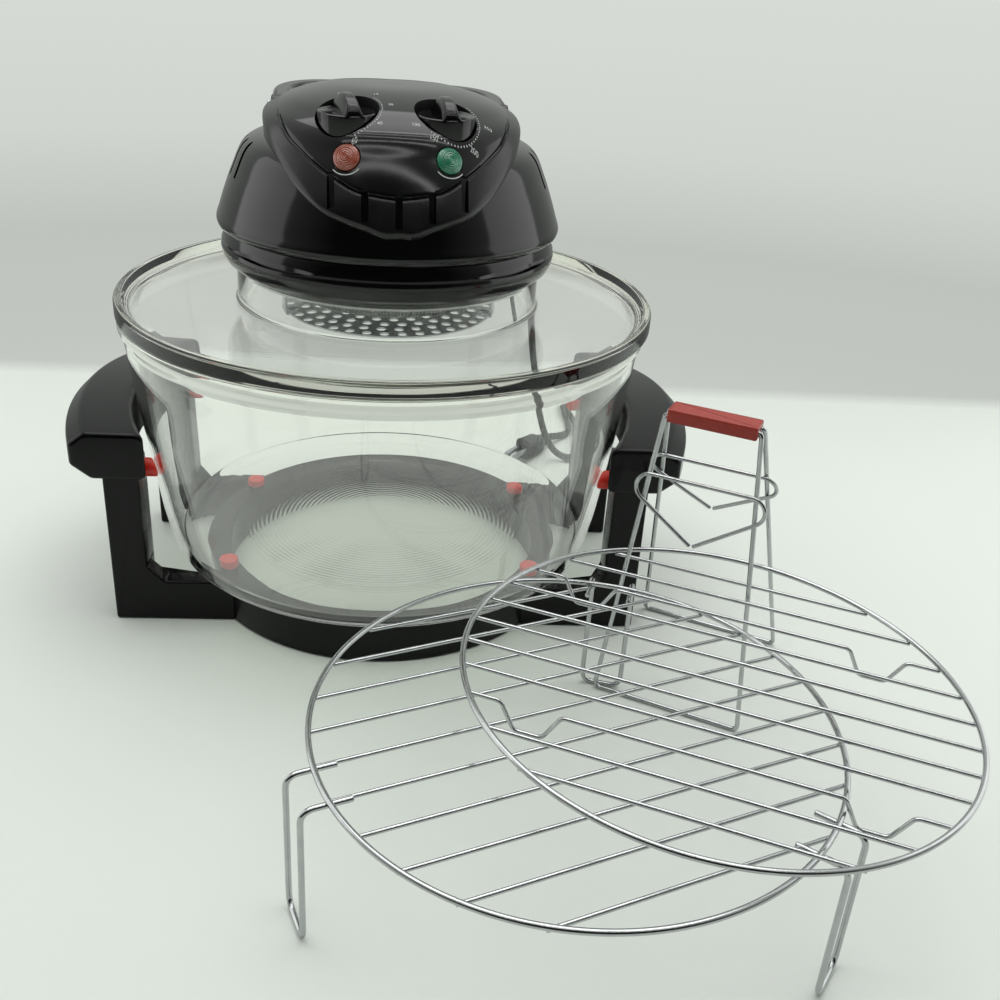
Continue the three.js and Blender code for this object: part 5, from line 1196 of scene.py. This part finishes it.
cut_round(guard_radius, 0, 0, 128)
for ring in range(8):
    ring_r = outer_ring - ring * ring_step
    holes = max(1, round(2 * np.pi * ring_r / hole_step))
    for at in round_angles(holes) + ring * hole_turn:
        cut_round(hole_radius, ring_r * np.cos(at), ring_r * np.sin(at), 20)
points, faces = filled(sheet)
points = points / mm + [0, 0, guard_top - guard_sheet / 2]
build("heater_guard_plate", (points, faces), brushed, "lid", ("heater_guard",), crease=0)
hook_r, hook_low, hook_high = guard_radius + hook_gap, guard_top - 1.9, pan_under - hook_gap
bracket_line = eased([[hook_r - hook_foot, hook_low], [hook_r, hook_low], [hook_r, hook_high],
                      [hook_r + 10, hook_high]], 1.6, 6)
turn_side = unit(np.gradient(bracket_line, axis=0)) @ np.array([[0, 1], [-1, 0]])
strip = np.stack([
    np.stack([bracket_line[:, 0] + turn_side[:, 0] * n, 0 * bracket_line[:, 0] + w,
              bracket_line[:, 1] + turn_side[:, 1] * n], -1)
    for w, n in rectangle(hook_half, hook_sheet / 2)], 1)
for i, degrees in enumerate((198, 342, 90)):
    build(f"guard_hook_{i + 1}", net(on_head(spun(strip, degrees))), brushed, "lid",
          (f"guard_bracket_{i + 1}",))

# %% [markdown]
# ## Racks and tongs
# Bright wire, welded under a ring. A wire is a circle carried along a path, and the path is a
# handful of corners with bends. The low rack leans on the high one, and two of its wires dip
# into feet. The tongs are two sprung frames hinged in a painted block.

# %% Racks
rack_radius, ring_wire, rack_wire, rack_drop = 128.6, 1.5, 1.1, 2.0
rack_ring = tube(circle(rack_radius, 200), ring_wire, 14, closed=True, hint=(0, 0, 1))


def chords(count, pitch):
    """Evenly spaced places across a ring, and half the ring's width at each of them."""
    across = (np.arange(count) - (count - 1) / 2) * pitch
    return zip(across, np.sqrt(rack_radius ** 2 - across ** 2))


def tilted(grid, degrees, place):
    """Turned about the y axis and moved."""
    a = np.radians(degrees)
    return basis(grid, (np.cos(a), 0, -np.sin(a)), (0, 1, 0), (np.sin(a), 0, np.cos(a)), place)


high_turn, high_pitch, high_place = 20.9, 24.0, (102.9, -279.0, 80.0)
leg_out, leg_in, leg_bend = 12.2, 12.0, 7.0
leg_low, leg_half = ring_wire - high_place[2], high_pitch / 2
near, far = rack_radius - leg_in, rack_radius + leg_out
hairpin = eased([[near, -leg_half, -rack_drop], [far, -leg_half, -rack_drop],
                 [far, -leg_half, leg_low], [far, leg_half, leg_low],
                 [far, leg_half, -rack_drop], [near, leg_half, -rack_drop]], leg_bend, 10)
leg_tube = tube(hairpin, ring_wire, 14)
high_nets = [net(rack_ring, "joined")]
high_nets += [net(tube([[-half, x, -rack_drop], [0, x, -rack_drop], [half, x, -rack_drop]],
                       rack_wire, 12, hint=(0, 0, 1))) for x, half in chords(10, high_pitch)]
high_nets += [net(spun(leg_tube, degrees - high_turn)) for degrees in (201.5, 73.8, 322.4)]
high_nets = [(on_oven(spun(points, high_turn) + high_place), faces)
             for points, faces in high_nets]
build("high_wire_rack", high_nets, chromed, "high_rack_body", ("high_rack",))

low_turn, low_slope, low_pitch, low_place = -20.6, 2.89, 21.0, (175.7, -260.7, 89.9)
foot_share, foot_along, foot_depth, foot_half, foot_flat = 3, 80.0, 14.5, 15.0, 7.0


def low_wire(x, half):
    """A straight wire, or one that dips into two feet."""
    if abs(abs(x) - foot_share * low_pitch) > low_pitch / 2:
        return np.array([[-half, x, 0], [0, x, 0], [half, x, 0]])
    dips = [[centre + way, x, -foot_depth * deep] for centre in (-foot_along, foot_along)
            for way, deep in ((-foot_half, 0), (-foot_flat, 1), (foot_flat, 1), (foot_half, 0))]
    return eased([[-half, x, 0], *dips, [half, x, 0]], 4.5, 9)


low_nets = [net(rack_ring + [0, 0, rack_drop], "joined")]
low_nets += [net(tube(low_wire(x, half), rack_wire, 12, hint=(0, 1, 0)))
             for x, half in chords(11, low_pitch)]
low_nets = [(on_oven(tilted(spun(points, low_turn), low_slope, low_place)), faces)
            for points, faces in low_nets]
build("low_wire_rack", low_nets, chromed, "low_rack_body", ("low_rack",))

# %% Tongs
tong_place, tong_turn = (186.4, -152.5, 182.5), -28.0
block_length, block_depth, block_height, tong_wire = 51.0, 15.0, 8.0, 1.4
hinge_offset, hinge_depth, foot_length = 3.6, 7.0, 91.2
loop_top, loop_straight, loop_end, loop_tip, loop_split = 37.0, 29.0, 8.4, 75.0, 0.75
loop_thin, loop_set_back = 0.85, 1.6
leg_x = block_length / 2 + seat + tong_wire
on_tongs = lambda grid: on_oven(spun(grid, tong_turn) + tong_place)
block = slab(eased(rectangle(block_length / 2, block_depth / 2), 1.3, 6, closed=True),
             0, block_height, 1.1, 6)
build("tong_block", net(on_tongs(block)), red_paint, "tongs_front", ("tong_grip",))
for end_name, sy, lean in (("front", -1, -4.2), ("rear", 1, 24.4)):
    drop = (tong_place[2] + block_height / 2 - tong_wire) / np.cos(np.radians(lean))
    inner_x = block_length / 2 - hinge_depth
    frame_path = eased([[-inner_x, 0, 0], [-leg_x, 0, 0], [-foot_length / 2, 0, -drop],
                        [foot_length / 2, 0, -drop], [leg_x, 0, 0], [inner_x, 0, 0]],
                       tong_wire * 2.4, 9)
    a = np.radians(np.linspace(-60, 90, 22))[::-1]
    right = np.stack([loop_straight + loop_end * np.cos(a), 0 * a - tong_wire * loop_set_back,
                      -loop_top - loop_end + loop_end * np.sin(a)], 1)
    half_loop = np.vstack([right, [[loop_split, -tong_wire * loop_set_back, -loop_tip]]])
    loop_path = np.vstack([(half_loop * [-1, 1, 1])[::-1], half_loop])
    a = np.radians(lean)
    hinge = (0, sy * hinge_offset, block_height / 2)
    wires = [tube(frame_path, tong_wire, 14, hint=(0, 1, 0.02)),
             tube(loop_path, tong_wire * loop_thin, 12, hint=(0, 1, 0.02))]
    build(f"tong_wire_{end_name}",
          [net(on_tongs(basis(wire, (1, 0, 0), (0, np.cos(a), np.sin(a)),
                              (0, -np.sin(a), np.cos(a)), hinge))) for wire in wires],
          chromed, f"tongs_{end_name}", (f"tong_frame_{end_name}",))

# %% [markdown]
# ## Pieces kept from the drawing
# The motor and its deck are shut inside the head. Their solids are right as they are, so they
# only get a finish.

# %% Inner pieces
for name in ("motor_deck", "fan_motor"):
    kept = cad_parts[name]
    kept.data.materials.clear()
    kept.data.materials.append(brushed)
